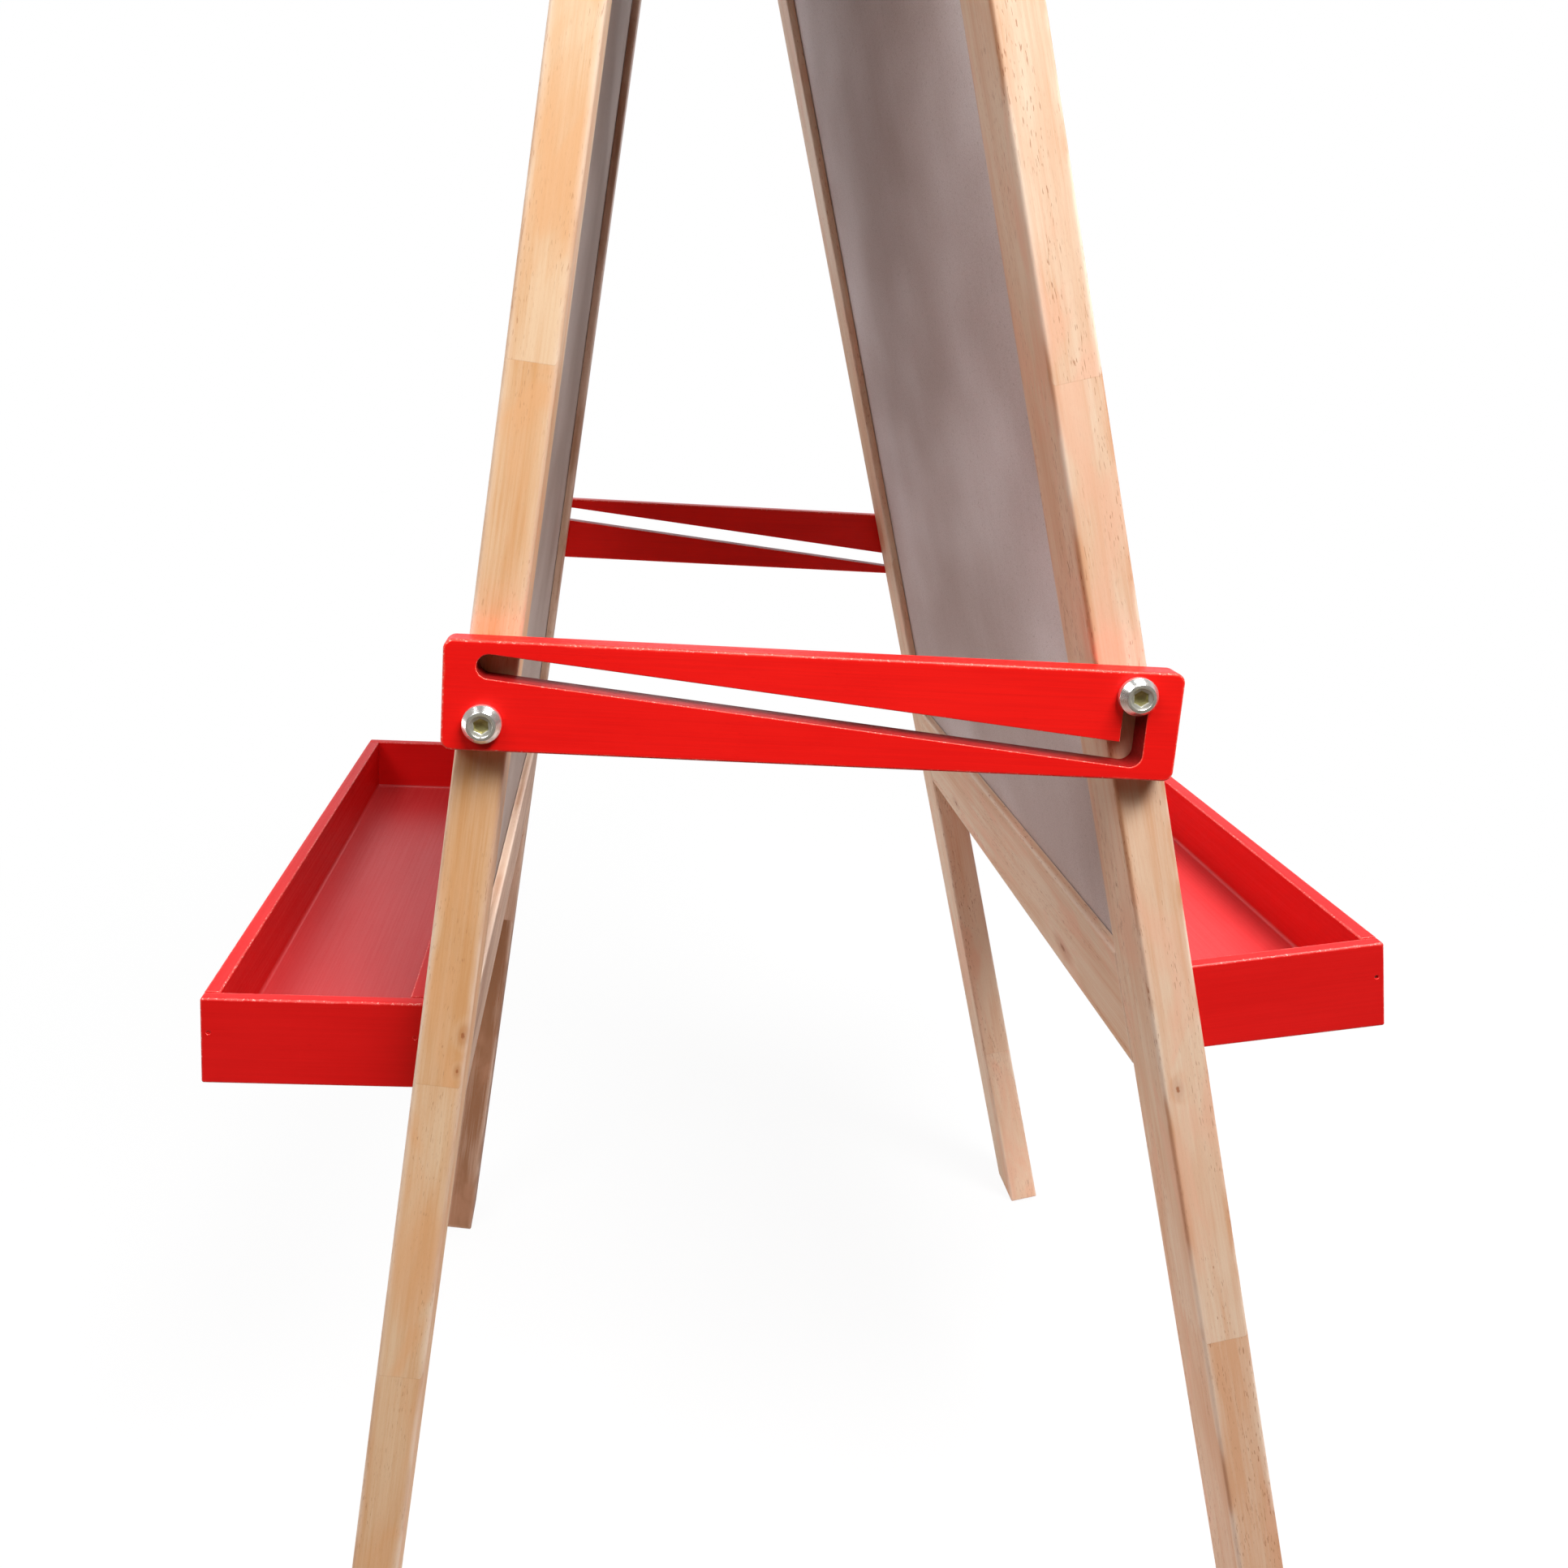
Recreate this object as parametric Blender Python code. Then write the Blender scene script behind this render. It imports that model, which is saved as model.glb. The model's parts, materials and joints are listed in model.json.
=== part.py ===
# Children's folding easel: two wooden frames hinged at the top, held apart by two
# slotted side braces, with a pen tray on each outer face.
# X runs from the left frame to the right frame, Y from the near side to the far side.
import math

import bmesh
import bpy
from mathutils import Matrix, Vector

for old in list(bpy.data.objects):
    bpy.data.objects.remove(old, do_unlink=True)

# ---- driving sizes, metres and degrees -------------------------------------------
CLEAR = 0.0003            # gap that two touching pieces keep

EASEL_WIDTH = 0.370       # over the outer sides of the legs
LEG_LENGTH = 1.157
LEG_THICK = 0.020         # from the back face to the outer face
LEG_WIDE = 0.030
EDGE_ROUND = 0.0012       # worn round on the long edges of legs and rails
BOLT_ABOVE_FOOT = 0.541   # along the leg

RAIL_TALL = 0.055
RAIL_ABOVE_FOOT = 0.356   # lower edge of the bottom rail, along the leg
TENON_THICK = 0.008
TENON_LONG = 0.014
TENON_SHOULDER = 0.009

BOARD_THICK = 0.005
BOARD_RECESS = 0.005      # from the legs' back faces
BOARD_GROOVE = 0.006

BRACE_LONG = 0.280
BRACE_TALL = 0.043
BRACE_THICK = 0.009
BRACE_CORNER = 0.004
BRACE_GAP = 0.0004        # between a brace and the legs' side faces
PIVOT_IN = 0.0155         # pivot hole from the brace's left end and lower edge
PIVOT_UP = 0.0113
LOCK_IN = 0.0183          # locked bolt from the brace's right end and upper edge
LOCK_DOWN = 0.0092
SLOT_AIR = 0.00095        # between the lock bolt's shank and each side of the slot
SLOT_START_IN = 0.0173    # upper end of the slot from the left end and upper edge
SLOT_START_DOWN = 0.0100
SLOT_END_UP = 0.0099      # lower end of the slot from the lower edge

BOLT_HEAD = 0.015
HEAD_TALL = 0.0042
HEAD_RIM = 0.0018
HEAD_FLAT = 0.0108
HEX_ACROSS = 0.0054
HEX_DEEP = 0.0028
SHANK = 0.0075
THREAD = 0.0060
THREAD_LONG = 0.0130
INSERT_OUT = 0.0098
INSERT_LONG = 0.0140
INSERT_SUNK = 0.0005

HINGE_APART = 0.200       # between the middles of the two hinges
LEAF_LONG = 0.050
LEAF_WIDE = 0.022
LEAF_THICK = 0.0014
LEAF_AIR = 0.0002         # half the air between the leaves when the easel is shut
KNUCKLE = 0.0062
PIN = 0.0030
KNUCKLE_SPLIT = 3
TOP_AIR = 0.0012          # from the knuckle down to the tops of the legs
SCREW_HEAD = 0.0054
SCREW_SHANK = 0.0026
SCREW_CONE = 0.0013
HINGE_SCREW_LONG = 0.013
HINGE_SCREW_APART = 0.030

TRAY_LONG = 0.306
TRAY_DEEP = 0.0985        # along the top, from the rail's face
TRAY_TALL = 0.040
TRAY_TILT = 4.6           # outer edge above level
OUTER_THICK = 0.0070
INNER_THICK = 0.0095
END_THICK = 0.0050
FLOOR_THICK = 0.004
FLOOR_UP = 0.003
FLOOR_GROOVE = 0.003
TRAY_SCREW_LONG = 0.024
TRAY_SCREW_IN = 0.045     # from the tray's end
TRAY_SCREW_UP = 0.022
NAIL_HEAD = 0.0024
NAIL_HEAD_TALL = 0.0008
NAIL_SHANK = 0.0016
NAIL_LONG = 0.024
NAIL_SUNK = 0.0010
NAIL_UP = 0.024

ROUND_STEPS = 32
CORNER_STEPS = 4

# ---- derived places ---------------------------------------------------------------
side = EASEL_WIDTH / 2
inner_side = side - LEG_WIDE
back = LEAF_THICK + CLEAR + LEAF_AIR          # hinge axis to a frame's back plane
front = back + LEG_THICK
leg_top = KNUCKLE / 2 + TOP_AIR               # down the leg from the hinge axis
foot = leg_top + LEG_LENGTH
bolt_down = foot - BOLT_ABOVE_FOOT
bolt_out = back + LEG_THICK / 2
rail_low = foot - RAIL_ABOVE_FOOT
rail_high = rail_low - RAIL_TALL

run = BRACE_LONG - PIVOT_IN - LOCK_IN
rise = BRACE_TALL - LOCK_DOWN - PIVOT_UP
span = math.hypot(run, rise)
brace_tilt = math.atan2(rise, run)
slot_radius = SHANK / 2 + SLOT_AIR
half_angle = (math.asin(span / 2 / math.hypot(bolt_down, bolt_out))
              - math.atan2(bolt_out, bolt_down))
hinge_height = foot * math.cos(half_angle) - back * math.sin(half_angle)
bolt_height = (hinge_height - bolt_down * math.cos(half_angle)
               + bolt_out * math.sin(half_angle))
tray_lean = half_angle - math.radians(TRAY_TILT)
lean = math.tan(tray_lean)


# ---- materials ----------------------------------------------------------------------
def material(name, colour, roughness, metallic=0.0):
    mat = bpy.data.materials.new(name)
    mat.use_nodes = True
    shader = mat.node_tree.nodes["Principled BSDF"]
    shader.inputs["Base Color"].default_value = (*colour, 1.0)
    shader.inputs["Roughness"].default_value = roughness
    shader.inputs["Metallic"].default_value = metallic
    return mat


woodColour = (0.78, 0.52, 0.28)
redColour = (0.72, 0.018, 0.012)
zincColour = (0.62, 0.62, 0.60)


# ---- shapes ---------------------------------------------------------------------------
def put(name, bm, parent, mat=None, location=(0, 0, 0), direction=None):
    bmesh.ops.recalc_face_normals(bm, faces=bm.faces)
    mesh = bpy.data.meshes.new(name)
    bm.to_mesh(mesh)
    bm.free()
    obj = bpy.data.objects.new(name, mesh)
    bpy.context.scene.collection.objects.link(obj)
    obj.parent = parent
    obj.location = location
    if direction is not None:
        turn = Vector((0, 0, 1)).rotation_difference(Vector(direction))
        obj.rotation_euler = turn.to_euler()
    if mat is None:
        obj.hide_render = True
        obj.display_type = "WIRE"
    else:
        mesh.materials.append(material(name, *mat))
    return obj


def axis(name, parent=None, location=(0, 0, 0), tilt=0.0):
    empty = bpy.data.objects.new(name, None)
    bpy.context.scene.collection.objects.link(empty)
    empty.parent = parent
    empty.location = location
    empty.rotation_euler = (0, tilt, 0)
    return empty


def prism(outline, low, high, along):
    """A closed outline of (a, b) points, extruded along Y or Z."""
    bm = bmesh.new()
    place = {"Y": lambda a, b, c: (a, c, b), "Z": lambda a, b, c: (a, b, c)}[along]
    start = [bm.verts.new(place(a, b, low)) for a, b in outline]
    end = [bm.verts.new(place(a, b, high)) for a, b in outline]
    bm.faces.new(start)
    bm.faces.new(end)
    for i in range(len(outline)):
        j = (i + 1) % len(outline)
        bm.faces.new((start[i], start[j], end[j], end[i]))
    return bm


def rectangle(a0, b0, a1, b1, radius=0.0, steps=CORNER_STEPS):
    a0, a1 = sorted((a0, a1))
    b0, b1 = sorted((b0, b1))
    if radius == 0:
        return [(a0, b0), (a1, b0), (a1, b1), (a0, b1)]
    points = []
    corners = ((a1 - radius, b0 + radius, -90), (a1 - radius, b1 - radius, 0),
               (a0 + radius, b1 - radius, 90), (a0 + radius, b0 + radius, 180))
    for a, b, start in corners:
        for i in range(steps + 1):
            turn = math.radians(start + 90 * i / steps)
            points.append((a + radius * math.cos(turn), b + radius * math.sin(turn)))
    return points


def capsule(start, end, radius, steps=ROUND_STEPS // 2):
    heading = math.atan2(end[1] - start[1], end[0] - start[0])
    points = []
    for centre, first in ((end, -90), (start, 90)):
        for i in range(steps + 1):
            turn = heading + math.radians(first + 180 * i / steps)
            points.append((centre[0] + radius * math.cos(turn),
                           centre[1] + radius * math.sin(turn)))
    return points


def turned(profile, steps=ROUND_STEPS):
    """A profile of (radius, height) points, turned about Z; open ends close on the axis."""
    bm = bmesh.new()
    rings = []
    for radius, height in profile:
        rings.append([bm.verts.new((radius * math.cos(2 * math.pi * i / steps),
                                    radius * math.sin(2 * math.pi * i / steps), height))
                      for i in range(steps)])
    for low, high in zip(rings, rings[1:]):
        for i in range(steps):
            j = (i + 1) % steps
            bm.faces.new((low[i], low[j], high[j], high[i]))
    bm.faces.new(rings[0])
    bm.faces.new(rings[-1])
    return bm


def tube(outer, inner, low, high, steps=ROUND_STEPS):
    bm = bmesh.new()
    rings = []
    for radius, height in ((inner, low), (outer, low), (outer, high), (inner, high)):
        rings.append([bm.verts.new((radius * math.cos(2 * math.pi * i / steps),
                                    radius * math.sin(2 * math.pi * i / steps), height))
                      for i in range(steps)])
    for k in range(4):
        low_ring, high_ring = rings[k], rings[(k + 1) % 4]
        for i in range(steps):
            j = (i + 1) % steps
            bm.faces.new((low_ring[i], low_ring[j], high_ring[j], high_ring[i]))
    return bm


def cylinder(radius, low, high, steps=ROUND_STEPS):
    return turned([(radius, low), (radius, high)], steps)


def grown(profile, gap=CLEAR):
    """The same turned profile with room all round it."""
    last = len(profile) - 1
    return [(radius + gap, height - gap if i == 0 else height + gap if i == last else height)
            for i, (radius, height) in enumerate(profile)]


def cut(obj, *cutters):
    for cutter in cutters:
        mod = obj.modifiers.new(cutter.name, "BOOLEAN")
        mod.operation = "DIFFERENCE"
        mod.solver = "EXACT"
        mod.object = cutter


def join(obj, *added):
    for other in added:
        mod = obj.modifiers.new(other.name, "BOOLEAN")
        mod.operation = "UNION"
        mod.solver = "EXACT"
        mod.object = other


def smooth(obj, angle=35.0):
    obj.data.shade_smooth()
    obj.data.set_sharp_from_angle(angle=math.radians(angle))


# ---- fasteners --------------------------------------------------------------------------
def screw_profile(length):
    return [(SCREW_SHANK * 0.2, -length), (SCREW_SHANK / 2, -length + 0.003),
            (SCREW_SHANK / 2, -SCREW_CONE), (SCREW_HEAD / 2, 0)]


def screw(name, length, parent, location, direction):
    """A countersunk screw whose head is flush at the location and faces the direction."""
    mat = (zincColour, 0.35, 1.0)
    body = put(name, turned(screw_profile(length), 16), parent, mat, location, direction)
    smooth(body)
    shape = grown(screw_profile(length))
    shape.append((SCREW_HEAD / 2 + CLEAR, 0.002))
    hole = put(name + "_hole", turned(shape, 16), parent, None, location, direction)
    return hole


def nail(name, parent, location, direction):
    """A lost-head nail, sunk below the face at the location."""
    top = -NAIL_SUNK
    shape = [(NAIL_SHANK * 0.15, top - NAIL_LONG), (NAIL_SHANK / 2, top - NAIL_LONG + 0.002),
             (NAIL_SHANK / 2, top - NAIL_HEAD_TALL), (NAIL_HEAD / 2, top - NAIL_HEAD_TALL),
             (NAIL_HEAD / 2, top)]
    body = put(name, turned(shape, 12), parent, (zincColour, 0.4, 1.0), location, direction)
    smooth(body)
    shaft = put(name + "_shaft", cylinder(NAIL_SHANK / 2 + CLEAR, top - NAIL_LONG - CLEAR,
                                          0.001, 12), parent, None, location, direction)
    mouth = put(name + "_mouth", cylinder(NAIL_HEAD / 2 + CLEAR,
                                          top - NAIL_HEAD_TALL - CLEAR, 0.001, 12),
                parent, None, location, direction)
    return shaft, mouth


def bolt(name, parent, location, direction, threaded):
    """A connector bolt: the head's underside is at the location."""
    reach = CLEAR + BRACE_THICK
    profile = [(SHANK / 2 - 0.0004, -reach), (SHANK / 2, -reach + 0.0004)]
    if threaded:
        end = reach + BRACE_GAP + INSERT_SUNK + THREAD_LONG
        profile = [(THREAD / 2 - 0.0008, -end), (THREAD / 2, -end + 0.0008),
                   (THREAD / 2, -reach), (SHANK / 2, -reach)]
    profile += [(SHANK / 2, 0), (BOLT_HEAD / 2, 0), (BOLT_HEAD / 2, HEAD_RIM),
                (HEAD_FLAT / 2, HEAD_TALL)]
    body = put(name, turned(profile), parent, (zincColour, 0.22, 1.0), location, direction)
    smooth(body)
    hexagon = cylinder(HEX_ACROSS / math.sqrt(3), HEAD_TALL - HEX_DEEP, HEAD_TALL + 0.001, 6)
    cut(body, put(name + "_hex", hexagon, parent, None, location, direction))
    return body


# ---- one frame: two legs, two rails and a board -----------------------------------------
def build_frame(which, sign, board_colour, board_roughness):
    pivot = axis(which + "_frame_axis", None, (0, 0, hinge_height), -sign * half_angle)

    board_low = rail_high + BOARD_GROOVE
    board_high = leg_top + RAIL_TALL - BOARD_GROOVE
    board_y = inner_side + BOARD_GROOVE
    board_in = back + BOARD_RECESS

    def board_box(gap):
        outline = rectangle(sign * (board_in - gap), -board_low - gap,
                            sign * (board_in + BOARD_THICK + gap), -board_high + gap)
        return prism(outline, -board_y - gap, board_y + gap, "Y")

    put(which + "_board", board_box(0), pivot, (board_colour, board_roughness))
    board_groove = put(which + "_board_groove", board_box(CLEAR), pivot)

    def tenon_box(high, gap):
        middle = back + LEG_THICK / 2
        outline = rectangle(sign * (middle - TENON_THICK / 2 - gap),
                            -high - RAIL_TALL + TENON_SHOULDER - gap,
                            sign * (middle + TENON_THICK / 2 + gap),
                            -high - TENON_SHOULDER + gap)
        reach = inner_side + TENON_LONG
        return prism(outline, -reach - gap, reach + gap, "Y")

    mortises = []
    rails = {}
    for place, high in (("top", leg_top), ("bottom", rail_high)):
        name = which + "_" + place + "_rail"
        outline = rectangle(sign * back, -high - RAIL_TALL, sign * front, -high, EDGE_ROUND, 3)
        reach = inner_side - CLEAR
        rail = put(name, prism(outline, -reach, reach, "Y"), pivot, (woodColour, 0.42))
        join(rail, put(name + "_tenon", tenon_box(high, 0), pivot))
        cut(rail, board_groove)
        mortises.append(put(name + "_mortise", tenon_box(high, CLEAR), pivot))
        rails[place] = rail

    for place, hand in (("near", -1), ("far", 1)):
        outline = rectangle(sign * back, hand * inner_side, sign * front, hand * side,
                            EDGE_ROUND, 3)
        leg = put(which + "_leg_" + place, prism(outline, -foot, -leg_top, "Z"), pivot,
                  (woodColour, 0.42))
        hole_deep = INSERT_SUNK + INSERT_LONG + CLEAR
        hole = put(which + "_insert_hole_" + place,
                   cylinder(INSERT_OUT / 2 + CLEAR, -hole_deep, 0.002), pivot, None,
                   (sign * bolt_out, hand * side, -bolt_down), (0, hand, 0))
        cut(leg, board_groove, *mortises, hole)

        role = "pivot" if sign < 0 else "lock"
        insert = put(place + "_" + role + "_insert",
                     tube(INSERT_OUT / 2, THREAD / 2 + CLEAR, -INSERT_SUNK - INSERT_LONG,
                          -INSERT_SUNK), pivot, ((0.70, 0.55, 0.25), 0.35, 1.0),
                     (sign * bolt_out, hand * side, -bolt_down), (0, hand, 0))
        smooth(insert)
    return pivot, rails


# ---- one tray: outer, inner and end boards, a floor, nails and two screws ----------------
def build_tray(which, sign, frame, rail):
    tray = axis(which + "_tray_axis", frame, (sign * (front + CLEAR), 0, -rail_low),
                sign * tray_lean)
    red = (redColour, 0.38)
    out = TRAY_DEEP - TRAY_TALL * lean
    inner_flat = INNER_THICK / math.cos(tray_lean)
    half = TRAY_LONG / 2
    between = half - END_THICK - CLEAR

    def outline(*points):
        return [(sign * a, b) for a, b in points]

    def inner_face(height):
        return inner_flat - height * lean

    floor_top = FLOOR_UP + FLOOR_THICK
    floor_from = inner_face(floor_top) - FLOOR_GROOVE
    floor_to = out - OUTER_THICK + FLOOR_GROOVE
    floor_reach = half - END_THICK + FLOOR_GROOVE

    def floor_box(gap):
        shape = outline((floor_from - gap, FLOOR_UP - gap), (floor_to + gap, FLOOR_UP - gap),
                        (floor_to + gap, floor_top + gap), (floor_from - gap, floor_top + gap))
        return prism(shape, -floor_reach - gap, floor_reach + gap, "Y")

    put(which + "_tray_floor", floor_box(0), tray, red)
    groove = put(which + "_tray_groove", floor_box(CLEAR), tray)

    outer_shape = outline((out - OUTER_THICK, 0), (out, 0), (out, TRAY_TALL),
                          (out - OUTER_THICK, TRAY_TALL))
    outer = put(which + "_tray_outer", prism(outer_shape, -between, between, "Y"), tray, red)
    inner_shape = outline((0, 0), (inner_flat, 0), (inner_face(TRAY_TALL), TRAY_TALL),
                          (-TRAY_TALL * lean, TRAY_TALL))
    inner = put(which + "_tray_inner", prism(inner_shape, -between, between, "Y"), tray, red)
    cut(outer, groove)
    cut(inner, groove)

    end_shape = outline((0, 0), (out, 0), (out, TRAY_TALL), (-TRAY_TALL * lean, TRAY_TALL))
    for place, hand in (("near", -1), ("far", 1)):
        end = put(which + "_tray_end_" + place,
                  prism(end_shape, hand * half, hand * (half - END_THICK), "Y"), tray, red)
        cut(end, groove)
        for board, name, across in ((outer, "outer", out - OUTER_THICK / 2),
                                    (inner, "inner", inner_face(NAIL_UP) - inner_flat / 2)):
            shaft, mouth = nail("%s_tray_nail_%s_%s" % (which, place, name), tray,
                                (sign * across, hand * half, NAIL_UP), (0, hand, 0))
            cut(end, shaft, mouth)
            cut(board, shaft)
        up = rail_low - TRAY_SCREW_UP / math.cos(tray_lean)
        hole = screw("%s_tray_screw_%s" % (which, place), TRAY_SCREW_LONG, frame,
                     (sign * (front + CLEAR + INNER_THICK), hand * (half - TRAY_SCREW_IN), -up),
                     (sign, 0, 0))
        cut(inner, hole)
        cut(rail, hole)


# ---- one butt hinge: two leaves, a pin and four screws ------------------------------------
def build_hinge(place, middle, frames, rails):
    segment = LEAF_LONG / KNUCKLE_SPLIT
    starts = [middle - LEAF_LONG / 2 + i * segment for i in range(KNUCKLE_SPLIT)]
    for which, sign in (("left", -1), ("right", 1)):
        frame = frames[which]
        name = "%s_hinge_leaf_%s" % (place, which)
        inner, outer = LEAF_AIR, LEAF_AIR + LEAF_THICK
        shape = rectangle(sign * inner, -leg_top - LEAF_WIDE, sign * outer, -leg_top + TOP_AIR / 2)
        leaf = put(name, prism(shape, middle - LEAF_LONG / 2, middle + LEAF_LONG / 2, "Y"),
                   frame, (zincColour, 0.3, 1.0))
        mine = [s for i, s in enumerate(starts) if (i % 2 == 0) == (sign < 0)]
        for i, start in enumerate(mine):
            low, high = start + CLEAR, start + segment - CLEAR
            neck = prism(rectangle(sign * inner, -leg_top, sign * outer, -PIN / 2 - CLEAR),
                         low, high, "Y")
            join(leaf, put("%s_neck_%d" % (name, i), neck, frame))
            barrel = put("%s_barrel_%d" % (name, i), cylinder(KNUCKLE / 2, low, high), frame,
                         None, (0, 0, 0), (0, 1, 0))
            join(leaf, barrel)
        bore = put(name + "_bore", cylinder(PIN / 2 + CLEAR, middle - LEAF_LONG,
                                            middle + LEAF_LONG), frame, None,
                   (0, 0, 0), (0, 1, 0))
        cut(leaf, bore)
        smooth(leaf)
        for end, hand in (("a", -1), ("b", 1)):
            hole = screw("%s_hinge_screw_%s_%s" % (place, which, end), HINGE_SCREW_LONG, frame,
                         (sign * LEAF_AIR, middle + hand * HINGE_SCREW_APART / 2,
                          -leg_top - LEAF_WIDE * 0.6), (-sign, 0, 0))
            cut(leaf, hole)
            cut(rails[which], hole)
    pin = put(place + "_hinge_pin", cylinder(PIN / 2, middle - LEAF_LONG / 2,
                                             middle + LEAF_LONG / 2, 24), frames["left"],
              (zincColour, 0.25, 1.0), (0, 0, 0), (0, 1, 0))
    smooth(pin)


# ---- one side: a slotted brace with its pivot bolt and its lock bolt ----------------------
def build_brace(place, hand, frame):
    lock_axis = axis(place + "_lock_axis", None, (-span / 2, 0, bolt_height))
    brace_axis = axis(place + "_brace_axis", lock_axis, (0, 0, 0), brace_tilt)

    near_face = hand * (side + BRACE_GAP)
    outer_face = hand * (side + BRACE_GAP + BRACE_THICK)
    low, high = sorted((near_face, outer_face))
    shape = rectangle(-PIVOT_IN, -PIVOT_UP, BRACE_LONG - PIVOT_IN, BRACE_TALL - PIVOT_UP,
                      BRACE_CORNER, 6)
    brace = put(place + "_brace", prism(shape, low, high, "Y"), brace_axis, (redColour, 0.34))

    notch_x = (run + span) / 2
    start = (SLOT_START_IN - PIVOT_IN, BRACE_TALL - SLOT_START_DOWN - PIVOT_UP)
    end = (notch_x, SLOT_END_UP - PIVOT_UP)
    slack = SLOT_AIR - CLEAR
    top = (notch_x, rise - math.sqrt(max(slack ** 2 - (notch_x - run) ** 2, 0)))
    for name, a, b in (("slot", start, end), ("notch", end, top)):
        cutter = put("%s_%s" % (place, name),
                     prism(capsule(a, b, slot_radius), low - 0.002, high + 0.002, "Y"),
                     brace_axis)
        cut(brace, cutter)
    hole = put(place + "_pivot_hole", cylinder(SHANK / 2 + CLEAR, low - 0.002, high + 0.002),
               brace_axis, None, (0, 0, 0), (0, 1, 0))
    cut(brace, hole)

    head = outer_face + hand * CLEAR
    bolt(place + "_pivot_bolt", frame, (-bolt_out, head, -bolt_down), (0, hand, 0), True)
    bolt(place + "_lock_bolt", lock_axis, (span, head, 0), (0, hand, 0), False)


left, left_rails = build_frame("left", -1, (0.035, 0.05, 0.045), 0.75)
right, right_rails = build_frame("right", 1, (0.85, 0.86, 0.86), 0.2)
build_tray("left", -1, left, left_rails["bottom"])
build_tray("right", 1, right, right_rails["bottom"])
for label, middle in (("near", -HINGE_APART / 2), ("far", HINGE_APART / 2)):
    build_hinge(label, middle, {"left": left, "right": right},
                {"left": left_rails["top"], "right": right_rails["top"]})
for label, hand in (("near", -1), ("far", 1)):
    build_brace(label, hand, left)
bpy.context.view_layer.update()
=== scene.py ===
import json
import math

import bpy
import numpy as np
from mathutils import Matrix, Vector
from mathutils.geometry import delaunay_2d_cdt


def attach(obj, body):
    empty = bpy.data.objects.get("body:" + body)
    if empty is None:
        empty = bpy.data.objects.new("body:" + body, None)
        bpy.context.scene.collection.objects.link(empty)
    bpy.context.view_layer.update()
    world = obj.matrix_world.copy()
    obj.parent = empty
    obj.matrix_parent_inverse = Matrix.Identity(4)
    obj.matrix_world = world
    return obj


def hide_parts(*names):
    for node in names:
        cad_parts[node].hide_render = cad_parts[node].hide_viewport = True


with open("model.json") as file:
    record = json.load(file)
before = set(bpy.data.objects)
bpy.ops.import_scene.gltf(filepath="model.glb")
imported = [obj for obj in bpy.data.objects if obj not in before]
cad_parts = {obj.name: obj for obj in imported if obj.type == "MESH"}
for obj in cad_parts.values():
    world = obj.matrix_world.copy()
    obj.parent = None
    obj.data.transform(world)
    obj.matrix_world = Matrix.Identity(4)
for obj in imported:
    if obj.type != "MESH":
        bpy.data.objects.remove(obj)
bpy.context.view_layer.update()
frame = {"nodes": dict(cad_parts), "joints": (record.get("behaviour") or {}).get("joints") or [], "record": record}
scene = bpy.context.scene
scene.view_settings.view_transform = "Standard"   # keeps the reds full
print("frame loaded:", len(frame["nodes"]), "parts")

# where things are: the hinge line, the two tilted frames and the two trays

mounts = {m["name"]: m for m in frame["record"]["mounts"]}
joints = {j["name"]: j for j in frame["joints"]}
hingeLine = np.array(joints["frame_fold"]["pos_m"], float)
upward = np.array([0.0, 0.0, 1.0])
farward = np.array([0.0, 1.0, 0.0])
sides, places = ("left", "right"), ("near", "far")


def unit(v):
    v = np.array(v, float)
    return v / np.linalg.norm(v)


def frameAxes(side, hand=1):
    # rows: out of the frame's face, down the leg, and sideways (hand -1 points to the near side)
    out = unit(mounts[side + "_top_rail_face"]["axis"])
    down = unit(mounts[side + "_near_foot_end"]["axis"])
    return np.array([out, down, hand * farward])


def trayAxes(side):
    # rows: out across the tray, up its walls, and along it
    out = unit(mounts[side + "_tray_front_face"]["axis"])
    up = np.array([-out[2] * np.sign(out[0]), 0.0, abs(out[0])])
    return np.array([out, up, farward])


def span(node, axes, origin=hingeLine):
    # lowest and highest corner of a CAD node, measured along the given axes
    mesh = frame["nodes"][node].data
    flat = np.empty(len(mesh.vertices) * 3, np.float32)
    mesh.vertices.foreach_get("co", flat)
    local = (flat.reshape(-1, 3) - origin) @ axes.T
    return local.min(0), local.max(0)


# shells: points, an edge value for each point, faces, and a finish zone for each face

def newShell():
    return {"points": np.zeros((0, 3)), "rim": np.zeros(0), "faces": [], "zones": []}


def addPoints(shell, points, rim=0.0):
    points = np.asarray(points, float)
    start = len(shell["points"])
    shell["points"] = np.vstack([shell["points"], points.reshape(-1, 3)])
    shell["rim"] = np.append(shell["rim"], np.broadcast_to(rim, points.shape[:-1]).ravel())
    return start + np.arange(points.size // 3).reshape(points.shape[:-1])


def addFaces(shell, faces, zones):
    faces = np.asarray(faces)
    shell["faces"] += faces.tolist()
    shell["zones"] += np.broadcast_to(zones, len(faces)).tolist()


def joinRings(shell, rings, zone=0, closed=True):
    # quads between neighbouring rows of a grid; rows run downwards and each row anticlockwise
    rings = np.asarray(rings)
    beside = np.roll(rings, -1, 1)
    quads = np.stack([rings[:-1], rings[1:], beside[1:], beside[:-1]], -1)
    if not closed:
        quads = quads[:, :-1]
    zones = np.broadcast_to(np.reshape(zone, (-1, 1)), quads.shape[:2])
    addFaces(shell, quads.reshape(-1, 4), zones.ravel())


def closeWithFan(shell, ring, tip, zone=0, up=True):
    # triangles from one ring to a single point
    point = addPoints(shell, [tip])[0]
    beside = np.roll(ring, -1)
    order = (ring, beside) if up else (beside, ring)
    addFaces(shell, np.stack([order[0], order[1], np.full(len(ring), point)], -1), zone)


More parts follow.
